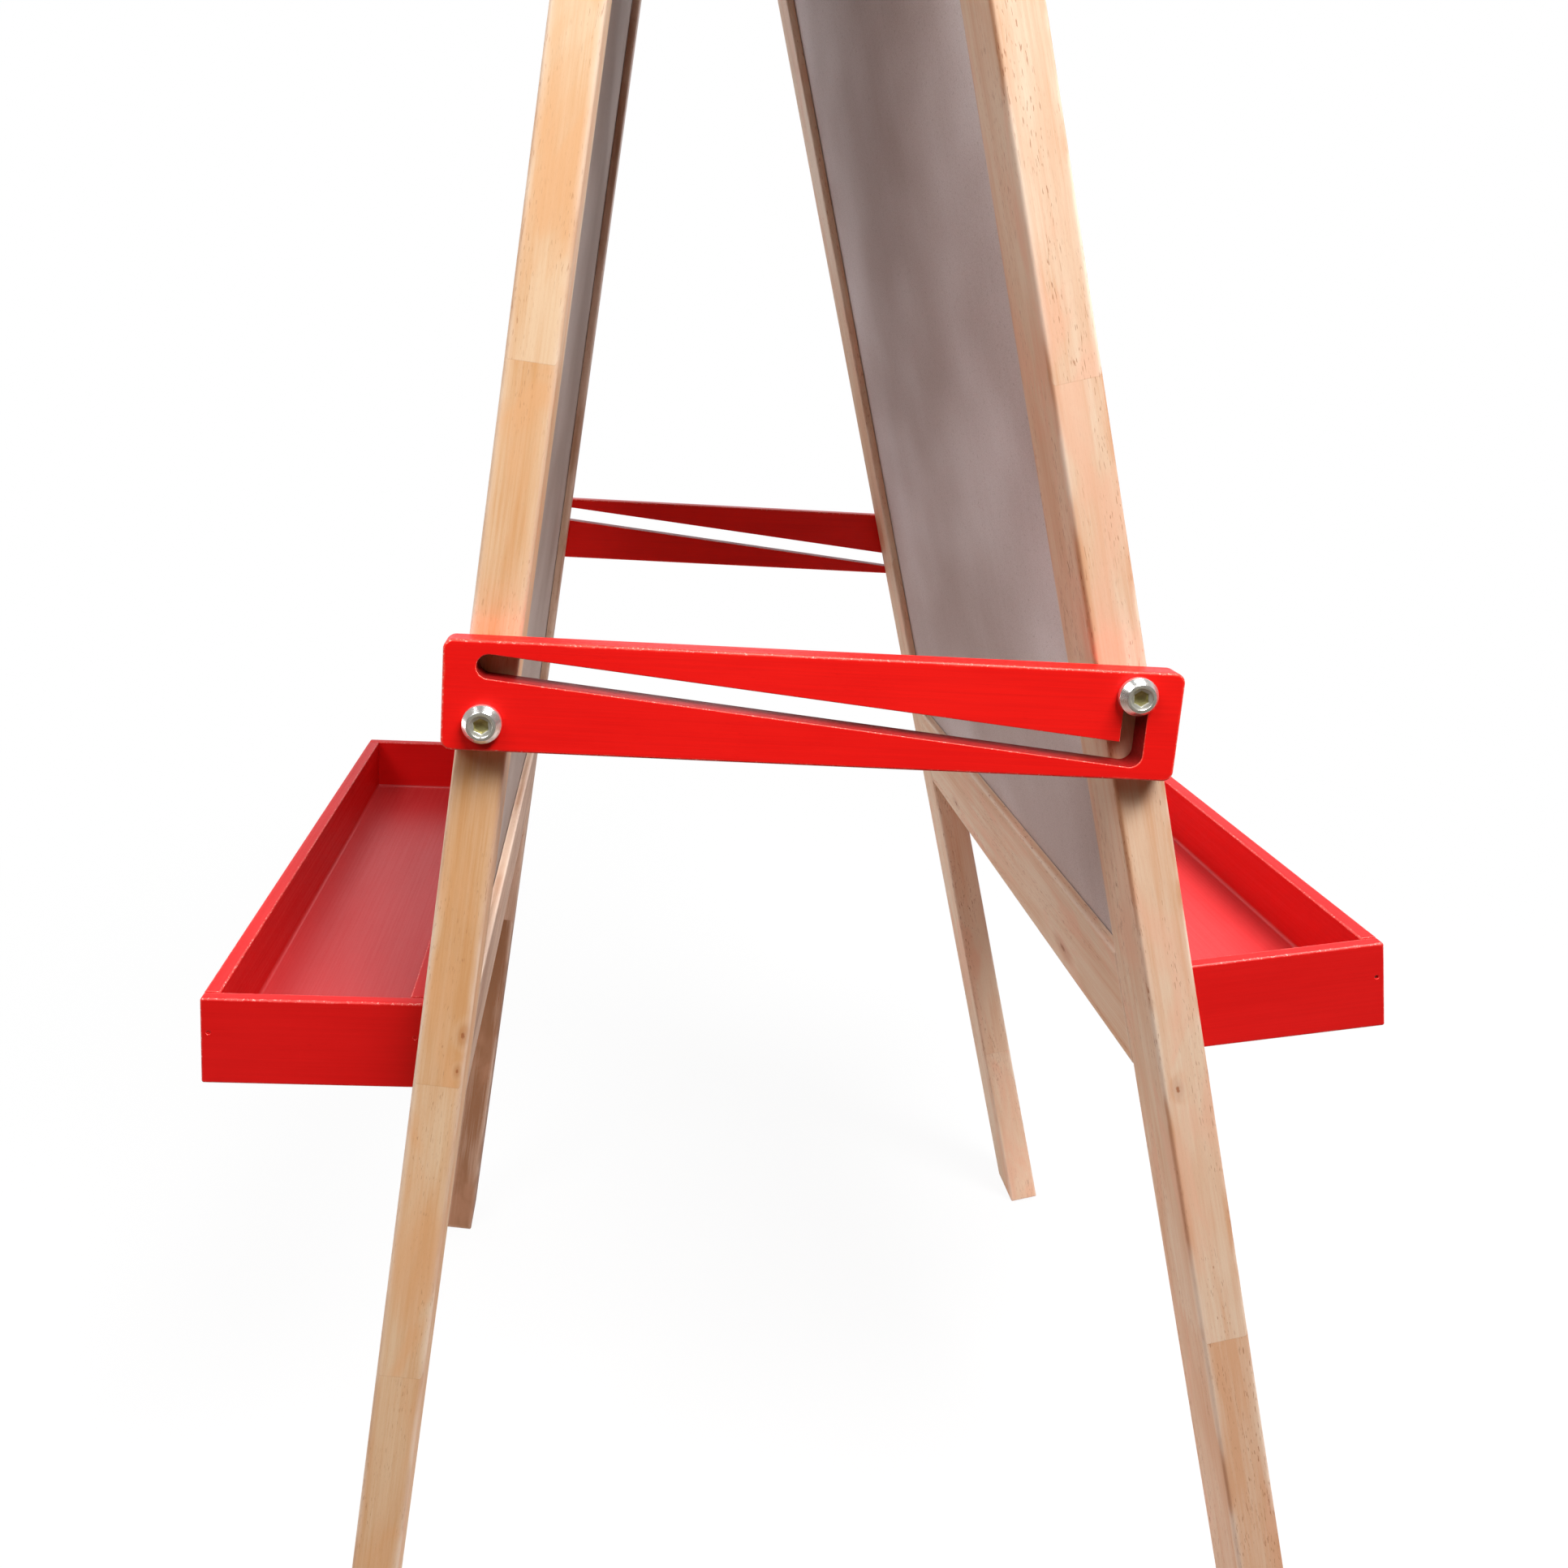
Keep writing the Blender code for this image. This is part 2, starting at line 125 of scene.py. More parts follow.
def insideLoop(points, loop):
    # a point is inside when a line from it crosses the loop an odd number of times
    x, y = points[:, 0, None], points[:, 1, None]
    a, b = loop, np.roll(loop, -1, 0)
    crosses = (a[:, 1] > y) != (b[:, 1] > y)
    rise = np.where(a[:, 1] == b[:, 1], 1.0, b[:, 1] - a[:, 1])
    return (crosses & (x < (b[:, 0] - a[:, 0]) * (y - a[:, 1]) / rise + a[:, 0])).sum(1) % 2 == 1


def fillFlat(shell, loops, zone=0, up=True):
    # flat face inside the first loop and outside the others
    ids = np.concatenate(loops)
    flat = shell["points"][ids][:, :2]
    middle = flat.mean(0)
    edges, start = [], 0
    for loop in loops:
        k = np.arange(len(loop))
        edges += np.stack([start + k, start + (k + 1) % len(loop)], 1).tolist()
        start += len(loop)
    spots = [Vector(p) for p in ((flat - middle) * 100).tolist()]
    made = delaunay_2d_cdt(spots, edges, [], 1, 1e-7, True)
    if not all(made[3]):      # points that the loops don't have
        print("warning: loops cross in a flat face near", middle)
    source = np.array([o[0] if o else 0 for o in made[3]])      # points in one place become one point
    triangles = source[np.array(made[2])]
    centres = flat[triangles].mean(1)
    keep, start = np.ones(len(triangles), bool), 0
    for i, loop in enumerate(loops):
        within = insideLoop(centres, flat[start:start + len(loop)])
        keep &= within if i == 0 else ~within
        start += len(loop)
    triangles = triangles[keep]
    p = flat[triangles]
    turn = np.cross(p[:, 1] - p[:, 0], p[:, 2] - p[:, 0])
    wrong = (turn < 0) == up
    triangles[wrong] = triangles[wrong][:, ::-1]
    addFaces(shell, ids[triangles], zone)


def cornered(corners, radii, steps=5, band=0.002, wear=1.0):
    # closed loop of straight sides with an arc at each corner, anticlockwise; set in by d, every
    # side moves in by d and each arc keeps its centre. Points beside each arc hold the wear there
    corners = np.array(corners, float)
    radii = np.broadcast_to(np.array(radii, float), len(corners))
    heading = np.roll(corners, -1, 0) - corners
    length = np.linalg.norm(heading, axis=1)
    leaving = heading / length[:, None]
    coming = np.roll(leaving, 1, 0)
    leftIn = np.stack([-coming[:, 1], coming[:, 0]], 1)
    leftOut = np.stack([-leaving[:, 1], leaving[:, 0]], 1)
    miter = (leftIn + leftOut) / (1 + (leftIn * leftOut).sum(1))[:, None]
    cross = coming[:, 0] * leaving[:, 1] - coming[:, 1] * leaving[:, 0]
    angle = np.arctan2(cross, (coming * leaving).sum(1))
    bend = np.where(angle >= 0, 1.0, -1.0)
    used = radii * np.tan(np.abs(angle) / 2)
    room = length - used - np.roll(used, -1)
    reach = np.minimum(band, 0.42 * room)
    before, after = np.roll(reach, 1), reach
    t = np.linspace(0, 1, steps + 1)
    value = wear * np.concatenate([[0], 0.55 + 0.45 * np.sin(np.pi * t), [0]])

    def loop(inset):
        moved = corners + inset * miter
        radius = np.maximum(radii - bend * inset, 4e-5)[:, None]
        centre = moved + bend[:, None] * radius * miter
        turn = angle[:, None] * t
        c, s = np.cos(turn), np.sin(turn)
        arm = np.stack([leftIn[:, :1] * c - leftIn[:, 1:] * s,
                        leftIn[:, :1] * s + leftIn[:, 1:] * c], -1)
        arc = centre[:, None] - (bend[:, None] * radius)[:, :, None] * arm
        first = arc[:, :1] - coming[:, None] * before[:, None, None]
        last = arc[:, -1:] + leaving[:, None] * after[:, None, None]
        points = np.concatenate([first, arc, last], 1).reshape(-1, 2)
        return points, np.tile(value, len(corners))

    return loop


def box(x0, y0, x1, y1):
    # corners of a rectangle, anticlockwise
    return [(x0, y0), (x1, y0), (x1, y1), (x0, y1)]


def fullTurn(steps):
    return np.linspace(0, 2 * np.pi, steps, endpoint=False)


def roundLoop(centre, radius, steps=48):
    # circle; set in by d its radius is shorter by d
    turn = fullTurn(steps)

    def loop(inset):
        r = radius - inset
        return np.stack([centre[0] + r * np.cos(turn), centre[1] + r * np.sin(turn)], 1), np.zeros(steps)

    return loop


def hollow(loop):
    # the same loop as a hole: it runs the other way and grows where an outline shrinks
    def grown(inset):
        points, wear = loop(-inset)
        return points[::-1], wear[::-1]

    return grown


def roundedEdge(edge, band, steps):
    # (set in, depth, wear) down a quarter round, with a flat band before it
    t = np.linspace(0, np.pi / 2, steps + 1)
    rows = np.stack([edge * (1 - np.sin(t)), edge * (1 - np.cos(t)), 0.55 + 0.45 * np.sin(2 * t)], 1)
    return np.vstack([[edge + band, 0, 0], rows])


pocketLip = {"edge": 1e-4, "band": 3e-4, "steps": 2}
coneLip = {"outside": 4e-4, "below": 3e-4}      # how far a countersunk hole's loops stand off its edges


def slab(shell, outline, low, high, edge=0.0008, band=0.002, steps=4, holes=(), tops=(), bottoms=(),
         zones=(0, 0, 0)):
    # plate: an outline with rounded edges carried from high to low, through holes, and pockets in
    # either face (a pocket of negative depth stands proud, as a tenon). zones: top, side, bottom
    topRows = roundedEdge(edge, band, steps)
    room = (high - low) / 2 - edge
    fall = min(band, room * 0.9)
    worn = 0.55 * (1 - fall / band)
    sideRows = [[0, edge + fall, worn]]

    def rings(loop, rows):
        made = []
        for inset, height, wear in rows:
            flat, cornerWear = loop(inset)
            points = np.column_stack([flat, np.full(len(flat), height)])
            made.append(addPoints(shell, points, np.maximum(cornerWear, wear)))
        return np.array(made)

    def both(rowsDown):
        rows = np.array(rowsDown)
        upper = np.column_stack([rows[:, 0], high - rows[:, 1], rows[:, 2]])
        lower = np.column_stack([rows[:, 0], low + rows[:, 1], rows[:, 2]])[::-1]
        return np.vstack([upper, lower])

    rows = both(np.vstack([topRows, sideRows]))
    body = rings(outline, rows)
    n = len(topRows) - 1
    joinRings(shell, body, [zones[0]] * n + [zones[1]] * (len(rows) - 1 - 2 * n) + [zones[2]] * n)
    topLoops, bottomLoops = [body[0]], [body[-1]]
    for hole in holes:
        cone = hole.get("cone")
        if cone:      # countersunk from the top: (extra radius, depth)
            lip = [[cone[0] + coneLip["outside"], high, 0], [cone[0], high, 0.5], [0, high - cone[1], 0],
                   [0, low, 0], [coneLip["below"], low, 0]]
            made = rings(hollow(hole["loop"]), lip)
        else:
            lip = roundedEdge(hole["edge"], hole["band"], steps)
            made = rings(hollow(hole["loop"]), both(lip))
        inside = [hole.get("zone", zones[1])] * (len(made) - 1)
        if "rimZone" in hole:      # the rounded lips keep the face's finish
            inside[:steps] = inside[-steps:] = [hole["rimZone"]] * steps
        joinRings(shell, made, inside)
        topLoops.append(made[0])
        bottomLoops.append(made[-1])
    # away is -1 for pockets that go down from the top and 1 for those that go up from the bottom
    for pockets, level, away, zone, loops in ((tops, high, -1, zones[0], topLoops),
                                              (bottoms, low, 1, zones[2], bottomLoops)):
        for pocket in pockets:
            lip = roundedEdge(pocket.get("edge", pocketLip["edge"]), pocket.get("band", pocketLip["band"]),
                              pocketLip["steps"])
            floor = [0, level + away * pocket["depth"], 0]
            rows = [[inset, level + away * depth, wear] for inset, depth, wear in lip] + [floor]
            if pocket["depth"] < 0:
                rows = [[0, level, 0], floor]
            made = rings(hollow(pocket["loop"]), rows[::-away])
            joinRings(shell, made, zone)
            fillFlat(shell, [made[-1 if away < 0 else 0]], zone, away < 0)
            loops.append(made[0 if away < 0 else -1])
    fillFlat(shell, topLoops, zones[0], True)
    fillFlat(shell, bottomLoops, zones[2], False)
    return shell


def turned(shell, profile, angles, zones=0, thread=None):
    # radius and height down a profile, carried round an axis. The third column turns the circle
    # into a hexagon, and a thread adds a ridge that climbs one pitch for each turn
    profile = np.array(profile, float)
    radius = profile[:, :1] * np.ones(len(angles))
    if profile.shape[1] > 2:
        sixth = np.pi / 3
        hexagon = 1 / np.cos((angles + sixth / 2) % sixth - sixth / 2)
        radius = radius * (1 + profile[:, 2:3] * (hexagon - 1))
    if thread:
        pitch, deep, start, end = thread
        phase = profile[:, 1:2] / pitch - angles / (2 * np.pi)
        ridge = np.abs((phase % 1) - 0.5) * 2
        inThread = (profile[:, 1:2] > start) & (profile[:, 1:2] < end)
        radius = radius - np.where(inThread, deep * ridge, 0)
    points = np.stack([radius * np.cos(angles), radius * np.sin(angles),
                       profile[:, 1:2] * np.ones(len(angles))], -1)
    rings = addPoints(shell, points)
    joinRings(shell, rings, zones)
    return rings


# pieces: a shell put in its place, with the coordinates that its grain follows

weightedNormals = {"mode": "FACE_AREA", "weight": 60, "keep_sharp": True}
grainShift = [0]
grainStep = np.array([31.7, 17.3, 411.0])      # each piece takes its grain from another place


def makePiece(name, node, shell, axes, origin, body, materials, grain=(0, 1, 2), sharp=42.0,
              weighted=True):
    # grain: the shell's axes that lie across, across and along the grain
    local = shell["points"]
    faces = shell["faces"]
    if np.linalg.det(axes) < 0:
        faces = [f[::-1] for f in faces]
    mesh = bpy.data.meshes.new(name)
    mesh.from_pydata((origin + local @ axes).tolist(), [], faces)
    for material in materials:
        mesh.materials.append(material)
    mesh.polygons.foreach_set("material_index", np.array(shell["zones"], np.int32))
    grainShift[0] += 1
    away = grainStep * grainShift[0]
    coords = local[:, list(grain)] * 1000 + away      # in millimetres
    attribute = mesh.attributes.new("grainCoord", "FLOAT_VECTOR", "POINT")
    attribute.data.foreach_set("vector", coords.astype(np.float32).ravel())
    attribute = mesh.attributes.new("rim", "FLOAT", "POINT")
    attribute.data.foreach_set("value", shell["rim"].astype(np.float32))
    mesh.shade_smooth()
    mesh.set_sharp_from_angle(angle=math.radians(sharp))
    mesh.update()
    piece = bpy.data.objects.new(name, mesh)
    scene.collection.objects.link(piece)
    if weighted:
        finish = piece.modifiers.new("faceNormals", "WEIGHTED_NORMAL")
        for key, value in weightedNormals.items():
            setattr(finish, key, value)
    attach(piece, body)
    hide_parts(node)
    return piece


# node helpers

def addNode(tree, kind, values=None, **settings):
    made = tree.nodes.new("ShaderNode" + kind)
    for key, value in settings.items():
        setattr(made, key, value)
    for key, value in (values or {}).items():
        socket = made.inputs[key]
        if isinstance(value, bpy.types.NodeSocket):
            tree.links.new(value, socket)
        else:
            socket.default_value = value
    return made


def sums(tree, operation, *values, clamp=False):
    made = addNode(tree, "Math", dict(enumerate(values)), operation=operation, use_clamp=clamp)
    return made.outputs[0]


def plus(tree, *values, clamp=False):
    return sums(tree, "ADD", *values, clamp=clamp)


def minus(tree, *values):
    return sums(tree, "SUBTRACT", *values)


def times(tree, *values, clamp=False):
    return sums(tree, "MULTIPLY", *values, clamp=clamp)


def weighed(tree, *pairs, clamp=False):
    # the sum of values, each times its weight or as it is (None); only the whole sum is clamped
    total = None
    for i, (value, weight) in enumerate(pairs):
        taken = isinstance(weight, float) and weight < 0
        part = value if weight is None else times(tree, value, -weight if taken else weight)
        operation = "SUBTRACT" if taken else "ADD"
        total = part if total is None else sums(tree, operation, total, part,
                                                clamp=clamp and i == len(pairs) - 1)
    return total


def vectors(tree, operation, *values):
    made = addNode(tree, "VectorMath", dict(enumerate(values)), operation=operation)
    return made.outputs["Value" if operation == "LENGTH" else "Vector"]


def grained(tree, vector, scale, *settings):
    # noise drawn out by a scale of its own along each axis
    return noise(tree, vectors(tree, "MULTIPLY", vector, scale), 1.0, *settings)


def noise(tree, vector, scale=1.0, detail=2.0, roughness=0.5, distortion=0.0):
    made = addNode(tree, "TexNoise", {"Vector": vector, "Scale": scale, "Detail": detail,
                                     "Roughness": roughness, "Distortion": distortion})
    return made.outputs["Fac"]


def ramp(tree, value, low, high, toLow=0.0, toHigh=1.0):
    made = addNode(tree, "MapRange", {"Value": value, "From Min": low, "From Max": high, "To Min": toLow,
                                     "To Max": toHigh}, interpolation_type="SMOOTHSTEP")
    return made.outputs["Result"]


def mixed(tree, factor, a, b, blend="MIX"):
    made = addNode(tree, "Mix", {0: factor, 6: a, 7: b}, data_type="RGBA", blend_type=blend)
    return made.outputs[2]


def startGroup(name, inputs, outputs):
    tree = bpy.data.node_groups.new(name, "ShaderNodeTree")
    for label, kind, value in inputs:
        socket = tree.interface.new_socket(name=label, in_out="INPUT", socket_type="NodeSocket" + kind)
        if value is not None:
            socket.default_value = value
    for label, kind in outputs:
        tree.interface.new_socket(name=label, in_out="OUTPUT", socket_type="NodeSocket" + kind)
    return tree, tree.nodes.new("NodeGroupInput").outputs, tree.nodes.new("NodeGroupOutput").inputs


def startMaterial(name):
    material = bpy.data.materials.new(name)
    material.use_nodes = True
    tree = material.node_tree
    grain = addNode(tree, "Attribute", attribute_name="grainCoord").outputs["Vector"]
    rim = addNode(tree, "Attribute", attribute_name="rim").outputs["Fac"]
    return material, tree, tree.nodes["Principled BSDF"], grain, rim


def fillGroup(tree, group, values):
    return addNode(tree, "Group", values, node_tree=group)


def bumpFrom(tree, shader, height, strength, distance):
    made = addNode(tree, "Bump", {"Height": height, "Strength": strength, "Distance": distance})
    tree.links.new(made.outputs[0], shader.inputs["Normal"])


# shared effects

surfaceOutputs = [("Color", "Color"), ("Roughness", "Float"), ("Height", "Float")]


def buildWearGroup():
    # worn edges: the rim value, broken up by two sizes of noise
    tree, into, out = startGroup("edgeWear", [
        ("Grain", "Vector", None), ("Rim", "Float", 0.0), ("Amount", "Float", 0.5)],
        [("Mask", "Float"), ("Chips", "Float")])
    broad = noise(tree, into["Grain"], 0.12, 3.0, 0.6)
    small = noise(tree, into["Grain"], 1.1, 3.0, 0.65)
    level = plus(tree, into["Rim"], minus(tree, weighed(tree, (broad, 0.9), (small, 0.35)), 0.62))
    tree.links.new(times(tree, ramp(tree, level, 0.45, 1.05), into["Amount"]), out["Mask"])
    chip = times(tree, ramp(tree, small, 0.56, 0.66), ramp(tree, into["Rim"], 0.55, 0.95))
    tree.links.new(times(tree, chip, into["Amount"]), out["Chips"])
    return tree


woodNoise = {      # how far each pattern is drawn out along the grain, its detail and its roughness
    "drift": ((0.045, 0.045, 0.0042), 3.0, 0.5),
    "streak": ((0.95, 0.95, 0.016), 4.0, 0.62),
    "fine": ((4.6, 4.6, 0.10), 3.0, 0.6),
    "cloud": ((0.05, 0.05, 0.011), 2.0, 0.5),
    "blush": ((0.036, 0.036, 0.014), 3.0, 0.6, 0.6),
    "varnish": ((0.05, 0.05, 0.012), 3.0, 0.6),
    "clusters": ((0.10, 0.10, 0.016), 1.0),
    "pores": ((2.1, 2.1, 0.24), 1.0, 0.4),
    "hair": ((5.5, 5.5, 0.42), 1.0),
}


def buildWoodGroup():
    # pale close-grained timber, glued up from finger-jointed lengths: growth figure, fibre
    # streaks, short pores, a tone for each length, thin glue lines and one or two small knots
    lengths = [(label + letter, "Float", value) for label, value in (("Joint ", 9999.0), ("Step ", 0.0))
               for letter in "ABC"]
    tree, into, out = startGroup("woodSurface", lengths + [
        ("Grain", "Vector", None), ("Rim", "Float", 0.0), ("Seed", "Float", 0.0), ("First Tone", "Float", 0.0),
        ("Start", "Vector", (0, 0, 0)), ("Knot", "Vector", (0, 0, -9999.0)),
        ("Knot B", "Vector", (0, 0, -9999.0)), ("Knot Size", "Float", 2.0), ("Varnish", "Float", 1.0),
        ("Pores", "Float", 0.5), ("Pale", "Color", None), ("Warm", "Color", None), ("Blush", "Color", None),
        ("Dark", "Color", None), ("Wornglint", "Color", None)], surfaceOutputs)
    # each glued length takes its pattern from another place; the joints between them are toothed
    own = vectors(tree, "SUBTRACT", into["Grain"], into["Start"])
    parts = addNode(tree, "SeparateXYZ", {0: own}).outputs
    along = plus(tree, parts[2], times(tree, sums(tree, "PINGPONG", parts[1], 1.9), 4.6))
    block, line, lengthTone = into["Seed"], 0.0, into["First Tone"]
    for letter in "ABC":
        past = sums(tree, "GREATER_THAN", along, into["Joint " + letter])
        near = sums(tree, "COMPARE", along, into["Joint " + letter], 0.22)
        block = plus(tree, block, past)
        line = plus(tree, line, near, clamp=True)
        lengthTone = sums(tree, "MULTIPLY_ADD", past, into["Step " + letter], lengthTone)
    tone = addNode(tree, "TexWhiteNoise", {"W": block}, noise_dimensions="1D")
    jump = vectors(tree, "MULTIPLY", tone.outputs["Color"], (63.0, 63.0, 900.0))
    p = vectors(tree, "ADD", into["Grain"], jump)
    n = {label: grained(tree, p, *settings) for label, settings in woodNoise.items()}
    ratios = []
    for label in ("Knot", "Knot B"):
        flat = vectors(tree, "MULTIPLY", vectors(tree, "SUBTRACT", own, into[label]), (1.0, 1.0, 0.5))
        ratios.append(sums(tree, "DIVIDE", vectors(tree, "LENGTH", flat), into["Knot Size"]))
    ratio = sums(tree, "MINIMUM", ratios[0], times(tree, ratios[1], 1.5))
    swirl = sums(tree, "POWER", 2.718, times(tree, times(tree, ratio, ratio), -0.12))
    core = ramp(tree, plus(tree, ratio, noise(tree, own, 0.9, 2.0)), 1.35, 0.75)
    halo = ramp(tree, ratio, 3.2, 0.8)
    # growth rings bend round the knot and drift along the length
    q = addNode(tree, "SeparateXYZ", {0: p}).outputs
    rings = weighed(tree, (q[0], 0.075), (q[1], 0.05), (n["drift"], 4.4), (swirl, 1.3))
    wave = sums(tree, "MULTIPLY_ADD", sums(tree, "SINE", times(tree, rings, 6.2832)), 0.5, 0.5)
    # the rounded edges are made pale in places, partly worn wood and partly a painted highlight where the arris
    # catches the light, and hold a line of amber varnish in others
    varnish = times(tree, ramp(tree, n["varnish"], 0.42, 0.60), into["Varnish"])
    edge = times(tree, into["Rim"], sums(tree, "MULTIPLY_ADD", varnish, 1.15, -0.45))
    warm = weighed(tree, (times(tree, wave, wave), 0.26),
                   (ramp(tree, n["streak"], 0.34, 0.72, 0.0, 0.34), None),
                   (ramp(tree, n["cloud"], 0.36, 0.66, 0.0, 0.50), None),
                   (ramp(tree, n["fine"], 0.3, 0.75, -0.06, 0.12), None), (lengthTone, None), (edge, None),
                   clamp=True)
    colour = mixed(tree, warm, into["Pale"], into["Warm"])
    colour = mixed(tree, ramp(tree, n["blush"], 0.46, 0.66, 0.0, 0.70), colour, into["Blush"])
    # the pale edge colour: partly wear, partly a painted highlight on the arrises
    wornglint = times(tree, sums(tree, "POWER", into["Rim"], 1.4), minus(tree, 1.0, varnish))
    colour = mixed(tree, times(tree, wornglint, 0.55), colour, into["Wornglint"])
    pores = times(tree, ramp(tree, n["pores"], 0.645, 0.70), ramp(tree, n["clusters"], 0.40, 0.62))
    amber = times(tree, sums(tree, "POWER", into["Rim"], 3.0), varnish)
    dark = weighed(tree, (pores, into["Pores"]), (ramp(tree, n["hair"], 0.60, 0.72), 0.12), (line, 0.12),
                   (amber, 0.45), (halo, 0.26), (core, 0.60), clamp=True)
    tree.links.new(mixed(tree, dark, colour, into["Dark"]), out["Color"])
    rough = plus(tree, ramp(tree, n["streak"], 0.3, 0.7, 0.40, 0.52), times(tree, pores, 0.2))
    tree.links.new(rough, out["Roughness"])
    height = weighed(tree, (n["fine"], 0.5), (n["streak"], 0.35), (pores, -0.7), (line, -0.35), (core, -0.8))
    tree.links.new(height, out["Height"])
    return tree


def buildPaintGroup(wearGroup):
    # brushed gloss over wood: long brush lines, a slight orange peel, filled pores that still
    # show, thin paint at the edges and small chips down to the primer
    tree, into, out = startGroup("paintSurface", [
        ("Grain", "Vector", None), ("Rim", "Float", 0.0), ("Wear", "Float", 0.6), ("Paint", "Color", None),
        ("Deep", "Color", None), ("Thin", "Color", None), ("Primer", "Color", None)], surfaceOutputs)
    grain = into["Grain"]
    brush = grained(tree, grain, (0.85, 0.85, 0.012), 4.0, 0.6)
    bristle = grained(tree, grain, (3.4, 3.4, 0.045), 2.0, 0.6)
    cloud = grained(tree, grain, (0.035, 0.035, 0.012), 3.0, 0.55)
    peel = noise(tree, grain, 0.75, 2.0, 0.45)
    pits = times(tree, ramp(tree, grained(tree, grain, (2.4, 2.4, 0.26), 1.0, 0.4), 0.66, 0.72),
                 ramp(tree, noise(tree, grain, 0.05, 2.0), 0.45, 0.62))
    deep = weighed(tree, (ramp(tree, brush, 0.34, 0.70, 0.0, 0.46), None),
                   (ramp(tree, cloud, 0.36, 0.66, 0.0, 0.44), None),
                   (ramp(tree, bristle, 0.35, 0.7, 0.0, 0.22), None), (pits, 0.5), clamp=True)
    colour = mixed(tree, deep, into["Paint"], into["Deep"])
    wear = fillGroup(tree, wearGroup, {"Grain": grain, "Rim": into["Rim"], "Amount": into["Wear"]}).outputs
    colour = mixed(tree, wear["Mask"], colour, into["Thin"])
    tree.links.new(mixed(tree, wear["Chips"], colour, into["Primer"]), out["Color"])
    rough = weighed(tree, (ramp(tree, brush, 0.3, 0.7, 0.33, 0.42), None),
                    (ramp(tree, peel, 0.3, 0.7, 0.0, 0.05), None), (wear["Chips"], 0.25))
    tree.links.new(rough, out["Roughness"])
    height = weighed(tree, (peel, 0.45), (brush, 0.55), (bristle, 0.30), (pits, -0.45), (wear["Chips"], -0.5))
    tree.links.new(height, out["Height"])
    return tree


def buildFibreGroup():
    # raw pressed fibreboard: soft patches, faint lines down the sheet, short fibres and specks
    tree, into, out = startGroup("fibreSurface", [
        ("Grain", "Vector", None), ("Pale", "Color", None), ("Brown", "Color", None), ("Speck", "Color", None)],
        surfaceOutputs)
    grain = into["Grain"]
    patch = grained(tree, grain, (0.017, 0.0060, 0.0075), 2.2, 0.5)
    lines = grained(tree, grain, (0.16, 0.16, 0.006), 3.0, 0.6)
    fine = noise(tree, grain, 1.5, 4.0, 0.7)
    across = grained(tree, grain, (0.5, 3.4, 0.9), 2.0, 0.6)
    down = grained(tree, grain, (3.0, 0.8, 0.5), 2.0, 0.6)
    brown = weighed(tree, (ramp(tree, patch, 0.34, 0.66, 0.0, 0.90), None),
                    (ramp(tree, lines, 0.34, 0.7, 0.0, 0.05), None),
                    (ramp(tree, fine, 0.35, 0.7, -0.14, 0.22), None), clamp=True)
    colour = mixed(tree, brown, into["Pale"], into["Brown"])
    fibres = plus(tree, ramp(tree, across, 0.60, 0.72), ramp(tree, down, 0.60, 0.72), clamp=True)
    cells = addNode(tree, "TexVoronoi", {"Vector": grain, "Scale": 0.55, "Randomness": 1.0})
    specks = ramp(tree, cells.outputs["Distance"], 0.16, 0.08)
    dark = weighed(tree, (fibres, 0.22), (specks, 0.30), clamp=True)
    tree.links.new(mixed(tree, dark, colour, into["Speck"]), out["Color"])
    tree.links.new(ramp(tree, fine, 0.3, 0.7, 0.62, 0.78), out["Roughness"])
    tree.links.new(weighed(tree, (fine, 0.6), (fibres, 0.5)), out["Height"])
    return tree


def buildFilmGroup():
    # wiped dust: long soft wipes of a dry cloth, smears and loose specks
    tree, into, out = startGroup("dustFilm", [("Grain", "Vector", None), ("Amount", "Float", 0.5)],
                                 [("Mask", "Float"), ("Specks", "Float")])
    grain = into["Grain"]
    bent = noise(tree, grain, 0.0045, 1.0, 0.4)
    offset = addNode(tree, "CombineXYZ", {1: times(tree, bent, 40.0), 2: times(tree, bent, 110.0)})
    swept = vectors(tree, "ADD", grain, offset.outputs[0])
    wipes = grained(tree, swept, (0.02, 0.005, 0.055), 4.0, 0.62)
    smear = grained(tree, grain, (0.02, 0.010, 0.007), 5.0, 0.62)
    mask = plus(tree, ramp(tree, wipes, 0.40, 0.75, 0.0, 0.40), ramp(tree, smear, 0.40, 0.72, 0.0, 0.75))
    tree.links.new(times(tree, mask, into["Amount"], clamp=True), out["Mask"])
    cells = addNode(tree, "TexVoronoi", {"Vector": grain, "Scale": 0.35, "Randomness": 1.0})
    specks = times(tree, ramp(tree, cells.outputs["Distance"], 0.11, 0.05), ramp(tree, smear, 0.45, 0.65))
    tree.links.new(times(tree, specks, into["Amount"]), out["Specks"])
    return tree


